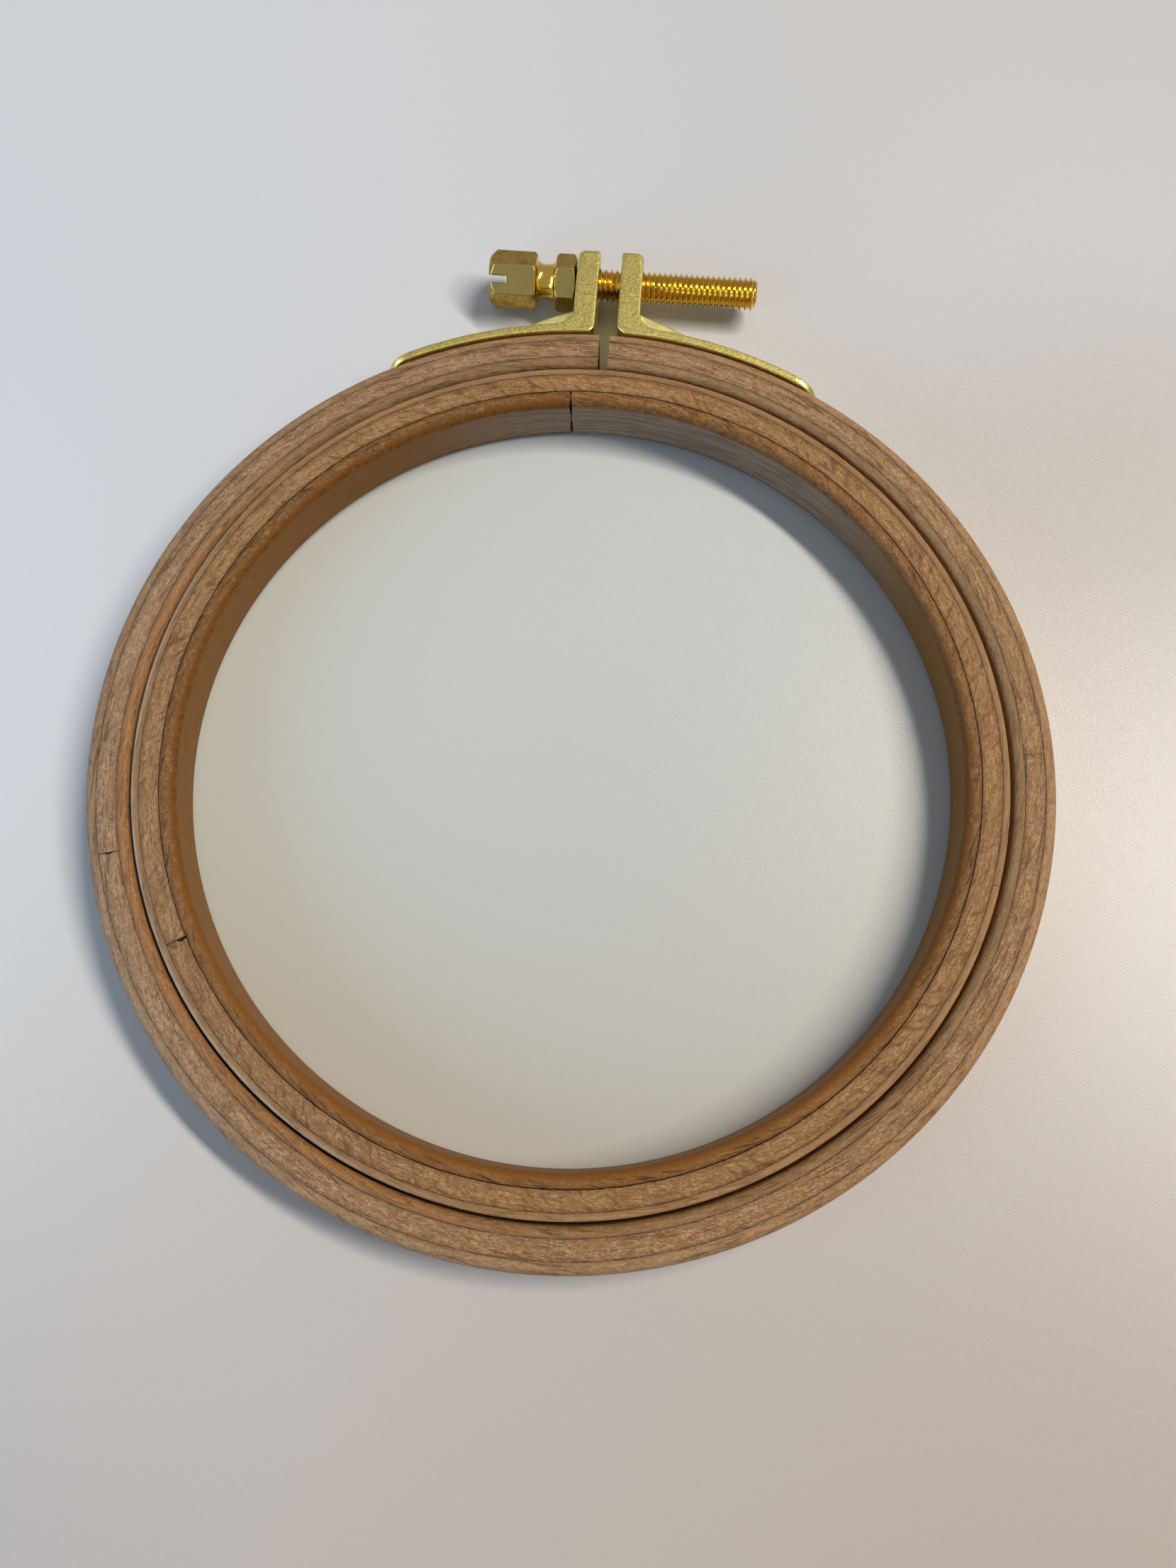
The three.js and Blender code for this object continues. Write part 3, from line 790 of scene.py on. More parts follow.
@dataclass
class Ply:
    """One strip of beech, bent round a ring from one cut to another."""

    name: str
    nodes: tuple[str, ...]
    start: float
    end: float
    bodies: tuple[str, ...]
    finish: Beech
    slot: str
    inner_round: float = 0.0
    outer_round: float = 0.0
    end_gap: float = 0.05
    inner_spread: float = 0.048
    outer_spread: float = 0.048
    chip: tuple[tuple[float, float, float], ...] = ()
    fray: float = 0.04
    eased: float = 0.03
    cuts: tuple[tuple[float, int], ...] = ((2.0, 3), (0.9, 1))
    bend: float = 0.5

    def radii(self, centre: Vector) -> tuple[float, float]:
        """The ply's inner and outer radius, read from its CAD node."""
        mesh = bpy.data.objects[self.nodes[0]].data
        reach = [(vertex.co.xy / MM - centre.xy).length for vertex in mesh.vertices]
        return min(reach), max(reach)

    def section(self, inner: float, outer: float) -> Piece:
        """The ply's cross section, standing on its edge at the start of the strip."""
        upright = (math.pi / 2, 0, 0)
        piece = Bench.fresh(self.name, bpy.ops.mesh.primitive_plane_add, size=1, rotation=upright)
        piece.scale = (outer - inner, HEIGHT, 1)
        piece.location = ((inner + outer) / 2, 0, MID_HEIGHT)
        Bench.settle(piece)
        middle = (inner + outer) / 2
        for side, radius in ((-1, self.inner_round), (1, self.outer_round)):
            size = max(radius, self.eased)
            steps = 8 if radius > 0 else 2
            with edit_mode(piece):
                Bench.select(piece, lambda place: (place.x - middle) * side > 0.45 * (outer - inner))
                bpy.ops.mesh.bevel(offset=size, segments=steps, profile=0.5, affect="VERTICES")
        for length, cuts in self.cuts:
            with edit_mode(piece, "EDGE"):
                Bench.select_edges(piece, lambda a, b: (a - b).length > length)
                bpy.ops.mesh.subdivide(number_cuts=cuts)
        return piece

    def build(self, centre: Vector) -> Piece:
        """Spins the section along the strip and gives it its strip coordinates.

        Args:
            centre: The ring's centre in millimetres.

        Returns:
            The finished ply.
        """
        inner, outer = self.radii(centre)
        inner -= self.inner_spread
        outer += self.outer_spread
        middle = (inner + outer) / 2
        trim = math.degrees(self.end_gap / middle)
        start = self.start + trim
        span = (self.end if self.end > self.start else self.end + 360) - trim - start
        piece = self.section(inner, outer)
        with edit_mode(piece, "FACE"):
            bpy.ops.mesh.select_all(action="SELECT")
            bpy.ops.mesh.spin(
                steps=round(span), angle=math.radians(span), center=(0, 0, 0), axis=(0, 0, -1))
            Bench.outwards()
        self.fray_ends(piece, math.radians(span), inner)
        piece.rotation_euler = (0, 0, math.radians(start))
        Bench.settle(piece)
        self.lay_strip(piece, start, middle)
        Bench.finish(piece, centre)
        return piece

    def fray_ends(self, piece: Piece, span: float, inner: float) -> None:
        """Makes both sawn ends a little uneven and breaks the chips out of the first one.

        Args:
            piece: The spun strip, starting at +X.
            span: The angle that it spans, in radians.
            inner: The strip's inner radius.
        """
        for end, inwards in ((0.0, 1.0), (span, -1.0)):
            way = Vector((-math.sin(end), math.cos(end), 0)) * inwards
            side = Vector((math.cos(end), math.sin(end), 0))
            shape = bmesh.new()
            shape.from_mesh(piece.data)
            for vertex in shape.verts:
                place = vertex.co
                if abs(place.dot(way)) > SAME or place.dot(side) < 0:
                    continue
                reach = place.dot(side) - inner
                wave = math.sin(2.3 * reach + 1.1 * place.z + self.finish.seed)
                wave += 0.6 * math.sin(4.1 * place.z - 3.7 * reach + 2 * self.finish.seed)
                depth = self.fray * (1 + wave) / 2
                if inwards > 0 and place.z > MID_HEIGHT:
                    for start, stop, lost in self.chip:
                        if start <= reach <= stop:
                            depth += lost * min((place.z - MID_HEIGHT) / 3.0, 1.0)
                vertex.co = place + way * depth
            shape.to_mesh(piece.data)
            shape.free()

    def lay_strip(self, piece: Piece, start: float, middle: float) -> None:
        """Writes each vertex's place along, out and up the strip, in millimetres."""
        count = len(piece.data.vertices)
        place = np.zeros(count * 3)
        piece.data.vertices.foreach_get("co", place)
        place = place.reshape(-1, 3)
        slack = 0.01
        turn = np.degrees(np.arctan2(place[:, 1], place[:, 0]))
        turn = np.mod(turn - start + slack, 360.0) - slack
        out = np.hypot(place[:, 0], place[:, 1])
        strip = np.stack([np.radians(turn) * middle, out, place[:, 2]], axis=1)
        attribute = piece.data.attributes.new(STRIP, "FLOAT_VECTOR", "POINT")
        attribute.data.foreach_set("vector", strip.astype(np.float32).ravel())

    def mount(self, piece: Piece) -> None:
        """Dresses the ply and lets it ride on its body; a ply on two bodies stays where it is."""
        piece.data.materials.append(self.finish.material())
        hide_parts(*self.nodes)
        if len(self.bodies) == 1:
            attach(piece, self.bodies[0])
        else:
            half = self.bend * MM
            -half
            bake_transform(piece)


@dataclass
class Rings:
    """The outer and the inner ring, each laminated from three plies of beech."""

    outer_radius: float = 56.0
    split: float = 1.22
    split_radius: float = 54.0
    outer_round: float = 1.4
    throat_round: float = 1.1
    closing_room: float = 0.02
    inner_ring_outer_round: float = 0.35
    inner_ring_throat_round: float = 1.15
    outer_glue_lines: tuple[float, float] = (54.45, 52.15)
    inner_glue_lines: tuple[float, float] = (49.63, 47.28)
    outer_butts: dict[str, float] = field(default_factory=lambda: {"middle": 196.3, "inner": 324.0})
    inner_butts: dict[str, float] = field(
        default_factory=lambda: {"outer": 347.0, "middle": 210.0, "inner": 94.4})

    def centre_of(self, nodes: list[str]) -> Vector:
        """The middle of some nodes' common box, in millimetres, at table height."""
        boxes = [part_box(node) for node in nodes]
        low = [min(box[0][axis] for box in boxes) for axis in range(2)]
        high = [max(box[1][axis] for box in boxes) for axis in range(2)]
        return Vector(((low[0] + high[0]) / 2, (low[1] + high[1]) / 2, 0)) / MM

    def outer_centre(self) -> Vector:
        """The outer ring's centre: its split leaves the box short at the top."""
        low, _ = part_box("outer_ring_outer_ply_left")
        return Vector((0, low.y / MM + self.outer_radius, 0))

    def build(self) -> None:
        """Builds, dresses and mounts every ply of both rings."""
        outer = self.outer_centre()
        for ply in self.outer_plies():
            ply.mount(ply.build(outer))
            LOG.info("built %s", ply.name)
        inner = self.centre_of([f"inner_ring_{place}_ply" for place in self.inner_butts])
        inner.y = outer.y
        for ply in self.inner_plies():
            ply.mount(ply.build(inner))
            LOG.info("built %s", ply.name)

    def outer_plies(self) -> list[Ply]:
        """The five strips of the outer ring, from the outside in."""
        tone, shade, fleck = rgb(160, 124, 87), rgb(120, 82, 50), rgb(196, 161, 119)
        lines = self.outer_glue_lines
        both = ("outer_ring_left", "outer_ring_right")
        split = math.degrees(self.split / 2 / self.split_radius)
        slot = "outer_ring_wood"
        outer = Beech("beech_outer_ring_outer_ply", rgb(169, 132, 93), rgb(128, 88, 54), fleck, 1.0,
                      flecks=0.45, glue_lines=lines, edge=(55.2, 56.1))
        middle = Beech("beech_outer_ring_middle_ply", tone, shade, fleck, 2.0, flecks=0.6, glue_lines=lines)
        middle_long = Beech("beech_outer_ring_middle_ply_long", tone, shade, fleck, 2.6, flecks=0.6,
                            cracks=(156.6,), glue_lines=lines, warm=rgb(148, 106, 64),
                            warm_from=(20.0, 70.0), warm_to=(150.0, 200.0))
        inner = Beech("beech_outer_ring_inner_ply", rgb(156, 116, 74), rgb(112, 80, 54), fleck, 3.0,
                      flecks=0.25, streaks=0.5, glue_lines=lines, warm=rgb(162, 108, 53),
                      warm_from=(40.0, 70.0), warm_to=(140.0, 175.0))
        inner_right = Beech("beech_outer_ring_inner_ply_right", rgb(160, 124, 84), rgb(128, 94, 60), fleck,
                            8.0, flecks=0.3, streaks=0.35, glue_lines=lines)
        low, high = 90 + split, 450 - split
        rounds = {"outer_round": self.outer_round}
        throat = {"inner_round": self.throat_round, "inner_spread": -self.closing_room}
        middle_butt, inner_butt = self.outer_butts["middle"], self.outer_butts["inner"]
        return [
            Ply("outer_ring_outer_strip", ("outer_ring_outer_ply_left", "outer_ring_outer_ply_right"),
                low, high, both, outer, slot, end_gap=0.0, outer_spread=0.0, **rounds),
            Ply("outer_ring_middle_strip_left", ("outer_ring_middle_ply_left_upper",),
                low, middle_butt, both[:1], middle, slot, end_gap=0.03),
            Ply("outer_ring_middle_strip_long",
                ("outer_ring_middle_ply_left_lower", "outer_ring_middle_ply_right"),
                middle_butt, high, both, middle_long, slot, end_gap=0.03, chip=((1.0, 1.35, 0.16),)),
            Ply("outer_ring_inner_strip_long",
                ("outer_ring_inner_ply_left", "outer_ring_inner_ply_right_lower"),
                low, inner_butt, both, inner, slot, end_gap=0.01, fray=0.015, **throat),
            Ply("outer_ring_inner_strip_right", ("outer_ring_inner_ply_right_upper",),
                inner_butt, high, both[1:], inner_right, slot, end_gap=0.01, fray=0.015, **throat),
        ]

    def inner_plies(self) -> list[Ply]:
        """The three strips of the inner ring, from the outside in."""
        tone, shade, fleck = rgb(158, 117, 72), rgb(118, 77, 39), rgb(200, 160, 110)
        lines = self.inner_glue_lines
        slot = "inner_ring_wood"
        # The outer ply's pale stretch is a painted highlight on its outer rims at the left, where light from
        # the lower left catches them.
        outer = Beech("beech_inner_ring_outer_ply", rgb(163, 125, 84), rgb(136, 94, 52), fleck, 4.0,
                      flecks=0.2, streaks=0.4, glue_lines=lines, glue=0.6, warm=rgb(190, 176, 158),
                      warm_from=(130.0, 165.0), warm_to=(215.0, 240.0), painted_highlight_out=50.05)
        middle = Beech("beech_inner_ring_middle_ply", tone, shade, fleck, 5.0, flecks=0.48, rays=0.7,
                       ray=rgb(118, 71, 31), streaks=0.35, cracks=(268.0,), glue_lines=lines, glue=0.85,
                       warm=rgb(145, 104, 61), warm_from=(-3.0, -2.0), warm_to=(90.0, 190.0))
        inner = ThroatBeech("beech_inner_ring_inner_ply", rgb(133, 89, 40), rgb(82, 50, 18),
                            rgb(166, 124, 74), 6.0, slope=0.2, flecks=0.55, streaks=0.8,
                            glue_lines=lines, glue=1.0, round=self.inner_ring_throat_round)
        finishes = {"outer": outer, "middle": middle, "inner": inner}
        shapes = {
            "outer": {"end_gap": 0.01, "fray": 0.02, "outer_round": self.inner_ring_outer_round,
                      "outer_spread": 0.0},
            "middle": {"inner_spread": 0.02, "end_gap": 0.03,
                       "chip": ((-0.1, 0.35, 0.15), (0.35, 0.85, 0.38))},
            "inner": {"inner_round": self.inner_ring_throat_round, "inner_spread": 0.0,
                      "outer_spread": 0.01, "fray": 0.14},
        }
        return [
            Ply(f"inner_ring_{place}_strip", (f"inner_ring_{place}_ply",), butt, butt + 360,
                ("inner_ring",), finishes[place], slot, **shapes[place])
            for place, butt in self.inner_butts.items()]


@dataclass(frozen=True)
class Foot:
    """The brackets' foot, which thins along the ring, and the seat that it lies on."""

    seat: float = 56.1
    length: float = 28.0
    thickness: float = 1.25
    tip_thickness: float = 0.9

    def outside(self) -> float:
        """How far the thick end's outer face lies from the ring's centre."""
        return self.seat + self.thickness

    def thickness_at(self, angle: float) -> float:
        """The thickness at an angle in radians from the split."""
        return self.thickness + (self.tip_thickness - self.thickness) * (angle * self.seat / self.length)


@dataclass
class Bracket:
    """A cast brass bracket: an upright lug, a long foot along the ring and a rib."""

    name: str
    side: Side
    heel_round: float
    finish: Brass
    base: Foot = Foot()
    width: float = 7.4
    lug_face: float = 1.4
    lug_thickness: float = 2.85
    lug_top: float = 68.1
    lug_corner_round: float = 0.9
    lug_end_round: float = 0.6
    fillet: float = 2.2
    fillet_sink: float = 0.03
    foot_end_round: float = 3.0
    foot_blank: tuple[float, float] = (-9.0, 3.0)
    foot_setback: float = 0.15
    foot_extra: float = 0.1
    rib_thickness: float = 2.4
    rib_top: float = 61.2
    rib_length: float = 13.0
    rib_swell: float = 0.55
    hole_radius: float = 2.3
    overlap: float = 0.2
    root_depth: float = 0.5
    voxel: float = 0.1
    softness: int = 18

    def at(self, x: float, y: float, z: float) -> Vector:
        """A point given for the right bracket, on this bracket's side."""
        return Vector((self.side * x, y, z))

    def block(self, name: str, low: tuple[float, float, float], high: tuple[float, float, float]) -> Piece:
        """A box given for the right bracket, on this bracket's side."""
        ends = (self.at(*low), self.at(*high))
        corners = [Vector(pick(a, b) for a, b in zip(*ends)) for pick in (min, max)]
        return Bench.box(name, *corners)

    def levels(self, width: float) -> tuple[float, float]:
        """The lowest and highest level of something centred on the mid height."""
        return MID_HEIGHT - width / 2, MID_HEIGHT + width / 2

    def lug(self) -> Piece:
        """The upright lug, its corners rounded."""
        low, high = self.levels(self.width)
        heel = math.sqrt(self.base.seat ** 2 - self.lug_face ** 2)
        back = self.lug_face + self.lug_thickness
        piece = self.block("lug", (self.lug_face, heel, low), (back, self.lug_top, high))

        def near(place: Vector, x: float, y: float) -> bool:
            """Whether a place lies on the upright line at x and y."""
            return abs(abs(place.x) - x) < NEAR and abs(place.y - y) < NEAR

        Bench.round_edges(piece, lambda a, b: near(a, self.lug_face, heel) and near(b, self.lug_face, heel),
                          self.heel_round, 8)
        Bench.round_edges(piece, lambda a, b: near(a, back, self.lug_top) and near(b, back, self.lug_top),
                          self.lug_corner_round, 5)
        shoulder = self.lug_top - self.lug_corner_round
        Bench.round_edges(piece, lambda a, b: min(a.y, b.y) > shoulder - NEAR and abs(a.z - b.z) < SAME,
                          self.lug_end_round, 6)
        return piece

    def foot(self) -> Piece:
        """The foot: a thin crescent along the ring, cut off in a rounded end."""
        low, high = self.levels(self.width)
        turn = self.base.length / self.base.seat
        shift = (self.base.thickness - self.base.tip_thickness) / math.sin(turn)
        tip = Vector((math.sin(turn), math.cos(turn), 0)) * self.base.seat
        start = self.lug_face + self.heel_round + self.foot_setback
        reach = (tip.x - start) / math.cos(turn / 2) + self.foot_extra
        inner, outer = self.foot_blank
        piece = Bench.box("foot", Vector((-reach, inner, low)), Vector((0, outer, high)))
        Bench.round_edges(piece, lambda a, b: max(abs(a.x), abs(b.x)) < NEAR and a.z == b.z,
                          self.foot_end_round, 10)
        piece.rotation_euler = (0, 0, -turn)
        piece.location = tip
        Bench.settle(piece)
        outside = Bench.cylinder("outside", Vector((-shift, 0, MID_HEIGHT)),
                                 self.base.outside(), 2 * self.width, sides=FINE_ROUND)
        Bench.combine(piece, outside, "INTERSECT")
        if self.side < 0:
            piece.scale.x = -1
            Bench.settle(piece)
            with edit_mode(piece):
                Bench.outwards()
        return piece

    def corner(self) -> Piece:
        """The hollow fillet between the lug's back and the foot."""
        low, high = self.levels(self.width)
        back = self.lug_face + self.lug_thickness
        floor = math.sqrt(self.base.outside() ** 2 - (back + self.fillet) ** 2)
        floor -= self.fillet_sink
        piece = self.block("corner", (back - self.overlap, floor - self.root_depth, low),
                           (back + self.fillet, floor + self.fillet, high))
        hollow = Bench.cylinder("hollow", self.at(back + self.fillet, floor + self.fillet, MID_HEIGHT),
                                self.fillet, 2 * self.width)
        return Bench.combine(piece, hollow, "DIFFERENCE")

    def rib(self) -> Piece:
        """The rib in the middle of the width, a little arched along its free edge."""
        low, high = self.levels(self.rib_thickness)
        root = self.lug_face + self.lug_thickness / 2
        end_turn = (self.lug_face + self.lug_thickness + self.rib_length) / self.base.seat
        top = Vector((root, self.rib_top, 0))
        reach = self.base.seat + self.base.tip_thickness / 2
        end = Vector((math.sin(end_turn), math.cos(end_turn), 0)) * reach
        chord = end - top
        radius = chord.length ** 2 / (8 * self.rib_swell)
        normal = Vector((-chord.y, chord.x, 0)).normalized()
        centre = (top + end) / 2 - normal * (radius - self.rib_swell)
        piece = self.block("rib", (root, end.y - self.root_depth, low), (end.x, self.rib_top, high))
        arch = Bench.cylinder("arch", self.at(centre.x, centre.y, MID_HEIGHT), radius, 2 * self.width,
                              sides=FINE_ROUND)
        return Bench.combine(piece, arch, "INTERSECT")

    def build(self, centre: Vector) -> Piece:
        """Joins the lug, foot, fillet and rib, cuts the seat and the hole, and casts them.

        Args:
            centre: The ring's centre in millimetres.

        Returns:
            The finished bracket, mounted on its half of the outer ring.
        """
        parts = [self.lug(), self.foot(), self.corner(), self.rib()]
        piece = Bench.join(self.name + "_casting", parts)
        Bench.cast(piece, self.voxel, softness=0)
        seat_middle = Vector((0, 0, MID_HEIGHT))
        seat = Bench.cylinder("seat", seat_middle, self.base.seat, 2 * self.width, sides=FINE_ROUND)
        Bench.combine(piece, seat, "DIFFERENCE")
        hole_centre = self.at(self.lug_face + self.lug_thickness / 2, SCREW_RISE, MID_HEIGHT)
        hole = Bench.cylinder("hole", hole_centre, self.hole_radius, 2 * self.lug_thickness, "X")
        Bench.combine(piece, hole, "DIFFERENCE")
        Bench.cast(piece, self.voxel, self.softness)
        Bench.finish(piece, centre, angle=80.0)
        piece.data.materials.append(self.finish.material())
        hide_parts(self.name)
        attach(piece, "outer_ring_right" if self.side > 0 else "outer_ring_left")
        LOG.info("built %s", piece.name)
        return piece


@dataclass
class Pins:
    """The four brass pins that hold the brackets' feet to the ring."""

    finish: Brass
    base: Foot = Foot()
    shank_radius: float = 0.55
    head_radius: float = 1.15
    head_height: float = 0.6
    point: float = 53.4
    point_length: float = 0.6
    clearance: float = 0.06
    sides: int = 40
    dome_steps: int = 8
    setbacks: dict[str, float] = field(default_factory=lambda: {"far": 4.0, "near": 9.0})

    def pin(self, name: str, angle: float) -> Piece:
        """One pin along +Y: a blunt point, a shank and a domed head."""
        head = self.base.seat + self.base.thickness_at(angle) + self.clearance
        profile = [
            Vector((0, self.point, MID_HEIGHT)),
            Vector((self.shank_radius / 3, self.point, MID_HEIGHT)),
            Vector((self.shank_radius, self.point + self.point_length, MID_HEIGHT)),
            Vector((self.shank_radius, head, MID_HEIGHT)),
            Vector((self.head_radius, head, MID_HEIGHT)),
        ]
        for step in range(1, self.dome_steps + 1):
            turn = math.pi / 2 * step / self.dome_steps
            across, along = self.head_radius * math.cos(turn), self.head_height * math.sin(turn)
            profile.append(Vector((across, head + along, MID_HEIGHT)))
        piece = Bench.line(name, profile)
        return Bench.turn(piece, self.sides, Vector((0, 1, 0)), Vector((0, 0, MID_HEIGHT)))

    def build(self, centre: Vector) -> None:
        """Builds and mounts the four pins about the ring's centre, in millimetres."""
        material = self.finish.material()
        for side in Side:
            where = side.name.lower()
            for place, setback in self.setbacks.items():
                angle = (self.base.length - setback) / self.base.seat
                name = f"{where}_bracket_pin_{place}"
                piece = self.pin(name + "_turned", angle)
                piece.rotation_euler = (0, 0, -side * angle)
                Bench.settle(piece)
                Bench.finish(piece, centre, angle=40.0)
                piece.data.materials.append(material)
                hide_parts(name)
                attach(piece, f"outer_ring_{where}")
                LOG.info("built %s", piece.name)


@dataclass
class ClampScrew:
    """The clamp screw, turned in one piece from hexagon bar, with an M4 thread."""

    finish: Brass
    across_flats: float = 6.2
    turn: float = 36.0
    collar_face: float = -4.4
    collar_length: float = 2.7
    groove_width: float = 2.5
    groove_depth: float = 1.05
    head_length: float = 6.1
    head_end_chamfer: float = 0.8
    head_chamfer: float = 0.35
    slot_width: float = 0.9
    slot_depth: float = 2.25
    thread_end: float = 19.15
    thread_radius: float = 2.0
    root_radius: float = 1.6
    pitch: float = 0.7
    crest: float = 0.09
    thread_chamfer: float = 0.5
    thread_steps: int = 48
    groove_steps: int = 16
    gap: float = 0.0005
    burr: float = 0.003
    voxel: float = 0.08
    softness: int = 3

    def head_face(self) -> float:
        """The slotted end's place along X."""
        return self.collar_face - self.collar_length - self.groove_width - self.head_length

    def on_axis(self, x: float, radius: float = 0.0) -> Vector:
        """A point at x, a radius out from the screw's axis towards the top."""
        return Vector((x, SCREW_RISE, MID_HEIGHT + radius))

    def lathe(self, name: str, profile: list[tuple[float, float]]) -> Piece:
        """Turns a profile of places and radii round the screw's axis."""
        piece = Bench.line(name, [self.on_axis(x, radius) for x, radius in profile])
        return Bench.turn(piece, ROUND, Vector((1, 0, 0)), self.on_axis(0.0))

    def head(self) -> Piece:
        """The hexagon head, groove and collar, with the screwdriver slot."""
        left, right = self.head_face(), self.collar_face
        corner = self.across_flats / math.sqrt(3)
        groove_left, groove_right = left + self.head_length, right - self.collar_length
        profile = [(left, 0.0), (left, corner - self.head_end_chamfer),
                   (left + self.head_end_chamfer, corner), (groove_left - self.head_chamfer, corner)]
        for step in range(self.groove_steps + 1):
            turn = math.pi * step / self.groove_steps
            x = (groove_left + groove_right) / 2 - math.cos(turn) * self.groove_width / 2
            depth = self.groove_depth * math.sqrt(max(math.sin(turn), 0.0))
            profile.append((x, corner - self.head_chamfer - depth))
        profile += [(groove_right + self.head_chamfer, corner), (right - self.head_chamfer, corner),
                    (right, corner - 2 * self.head_chamfer), (right, 0.0)]
        piece = self.lathe("screw_head", profile)
        bar = Bench.cylinder("bar", self.on_axis((left + right) / 2), corner, right - left + 2, "X", sides=6)
        self.face_flat(bar)
        Bench.combine(piece, bar, "INTERSECT")
        half = self.slot_width / 2
        slot = Bench.box("slot", Vector((left - 1, -half, -HEIGHT)),
                         Vector((left + self.slot_depth, half, HEIGHT)))
        slot.rotation_euler = (math.radians(self.turn), 0, 0)
        slot.location = self.on_axis(0.0)
        Bench.settle(slot)
        Bench.combine(piece, slot, "DIFFERENCE")
        return Bench.cast(piece, self.voxel, self.softness)

    def face_flat(self, bar: Piece) -> None:
        """Turns the hexagon bar so that one flat faces as the slot runs."""
        flat = next(face for face in bar.data.polygons if abs(face.normal.x) < 0.1)
        now = math.atan2(-flat.normal.y, flat.normal.z)
        middle = Matrix.Translation(self.on_axis(0.0))
        spin = Matrix.Rotation(math.radians(self.turn) - now, 4, "X")
        bar.matrix_world = middle @ spin @ middle.inverted()
        Bench.settle(bar)

    def thread(self) -> Piece:
        """The threaded shank: one turn of the thread's profile, screwed along the axis."""
        flank = (self.pitch - 2 * self.crest) / 2
        start = self.collar_face - self.collar_length / 2
        profile = [
            (0.0, self.root_radius), (self.crest / 2, self.root_radius),
            (self.crest / 2 + flank, self.thread_radius), (self.crest * 1.5 + flank, self.thread_radius),
            (self.pitch, self.root_radius),
        ]
        piece = Bench.line("thread", [Vector((x, 0, radius)) for x, radius in profile])
        turns = math.ceil((self.thread_end - start) / self.pitch) + 2
        Bench.modify(piece, "SCREW", axis="X", screw_offset=self.pitch, iterations=turns,
                     steps=self.thread_steps, render_steps=self.thread_steps,
                     use_merge_vertices=True, merge_threshold=self.gap)
        piece.location = self.on_axis(start - self.pitch)
        Bench.settle(piece)
        with edit_mode(piece):
            for place, direction in ((start, -1), (self.thread_end, 1)):
                bpy.ops.mesh.select_all(action="SELECT")
                bpy.ops.mesh.bisect(plane_co=self.on_axis(place), plane_no=(direction, 0, 0),
                                    use_fill=True, clear_outer=True)
            Bench.outwards(self.gap)
        wide = self.thread_radius + 0.5
        end = self.thread_end
        envelope = self.lathe("envelope", [
            (start - 1, 0.0), (start - 1, wide), (end - self.thread_chamfer - 0.5, wide),
            (end, self.thread_radius - self.thread_chamfer), (end + NEAR, 0.0)])
        Bench.combine(piece, envelope, "INTERSECT")
        with edit_mode(piece):
            bpy.ops.mesh.select_all(action="SELECT")
            bpy.ops.mesh.remove_doubles(threshold=self.burr)
            bpy.ops.mesh.dissolve_degenerate(threshold=self.burr)
            bpy.ops.mesh.quads_convert_to_tris(quad_method="BEAUTY", ngon_method="BEAUTY")
        return piece

    def build(self, centre: Vector) -> Piece:
        """Builds, dresses and mounts the screw.

        Args:
            centre: The ring's centre in millimetres.

        Returns:
            The finished screw.
        """
        piece = Bench.join("clamp_screw_turned", [self.head(), self.thread()])
        Bench.finish(piece, centre, angle=35.0)
        piece.data.materials.append(self.finish.material())
        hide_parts("clamp_screw")
        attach(piece, "screw")
        LOG.info("built %s", piece.name)
        return piece


@dataclass(frozen=True)
class Lamp:
    """A soft rectangular lamp, level like a ceiling lamp or facing the hoop.

    Its azimuth runs from +X counterclockwise and its rise from the table, in degrees. Its
    distance and size are in metres and its power in watts. A level lamp's length lies along
    turn, in degrees, and a glint lamp shows in reflections alone.
    """

    name: str
    azimuth: float
    rise: float
    distance: float
    size: tuple[float, float]
    power: float
    colour: Colour
    turn: float | None = None
    glint: bool = False

    def hang(self) -> None:
        """Adds the lamp to the scene."""
        data = bpy.data.lights.new(self.name, "AREA")
        data.shape = "RECTANGLE"
        data.size, data.size_y = self.size
        data.energy = self.power
        data.color = self.colour
        lamp = bpy.data.objects.new(self.name, data)
        bpy.context.scene.collection.objects.link(lamp)
        azimuth, rise = math.radians(self.azimuth), math.radians(self.rise)
        level = math.cos(rise)
        way = Vector((math.cos(azimuth) * level, math.sin(azimuth) * level, math.sin(rise)))
        lamp.location = way * self.distance
        lamp.visible_diffuse = not self.glint
        if self.turn is None:
            lamp.rotation_euler = way.to_track_quat("Z", "Y").to_euler()
        else:
            lamp.rotation_euler = (0, 0, math.radians(self.turn))


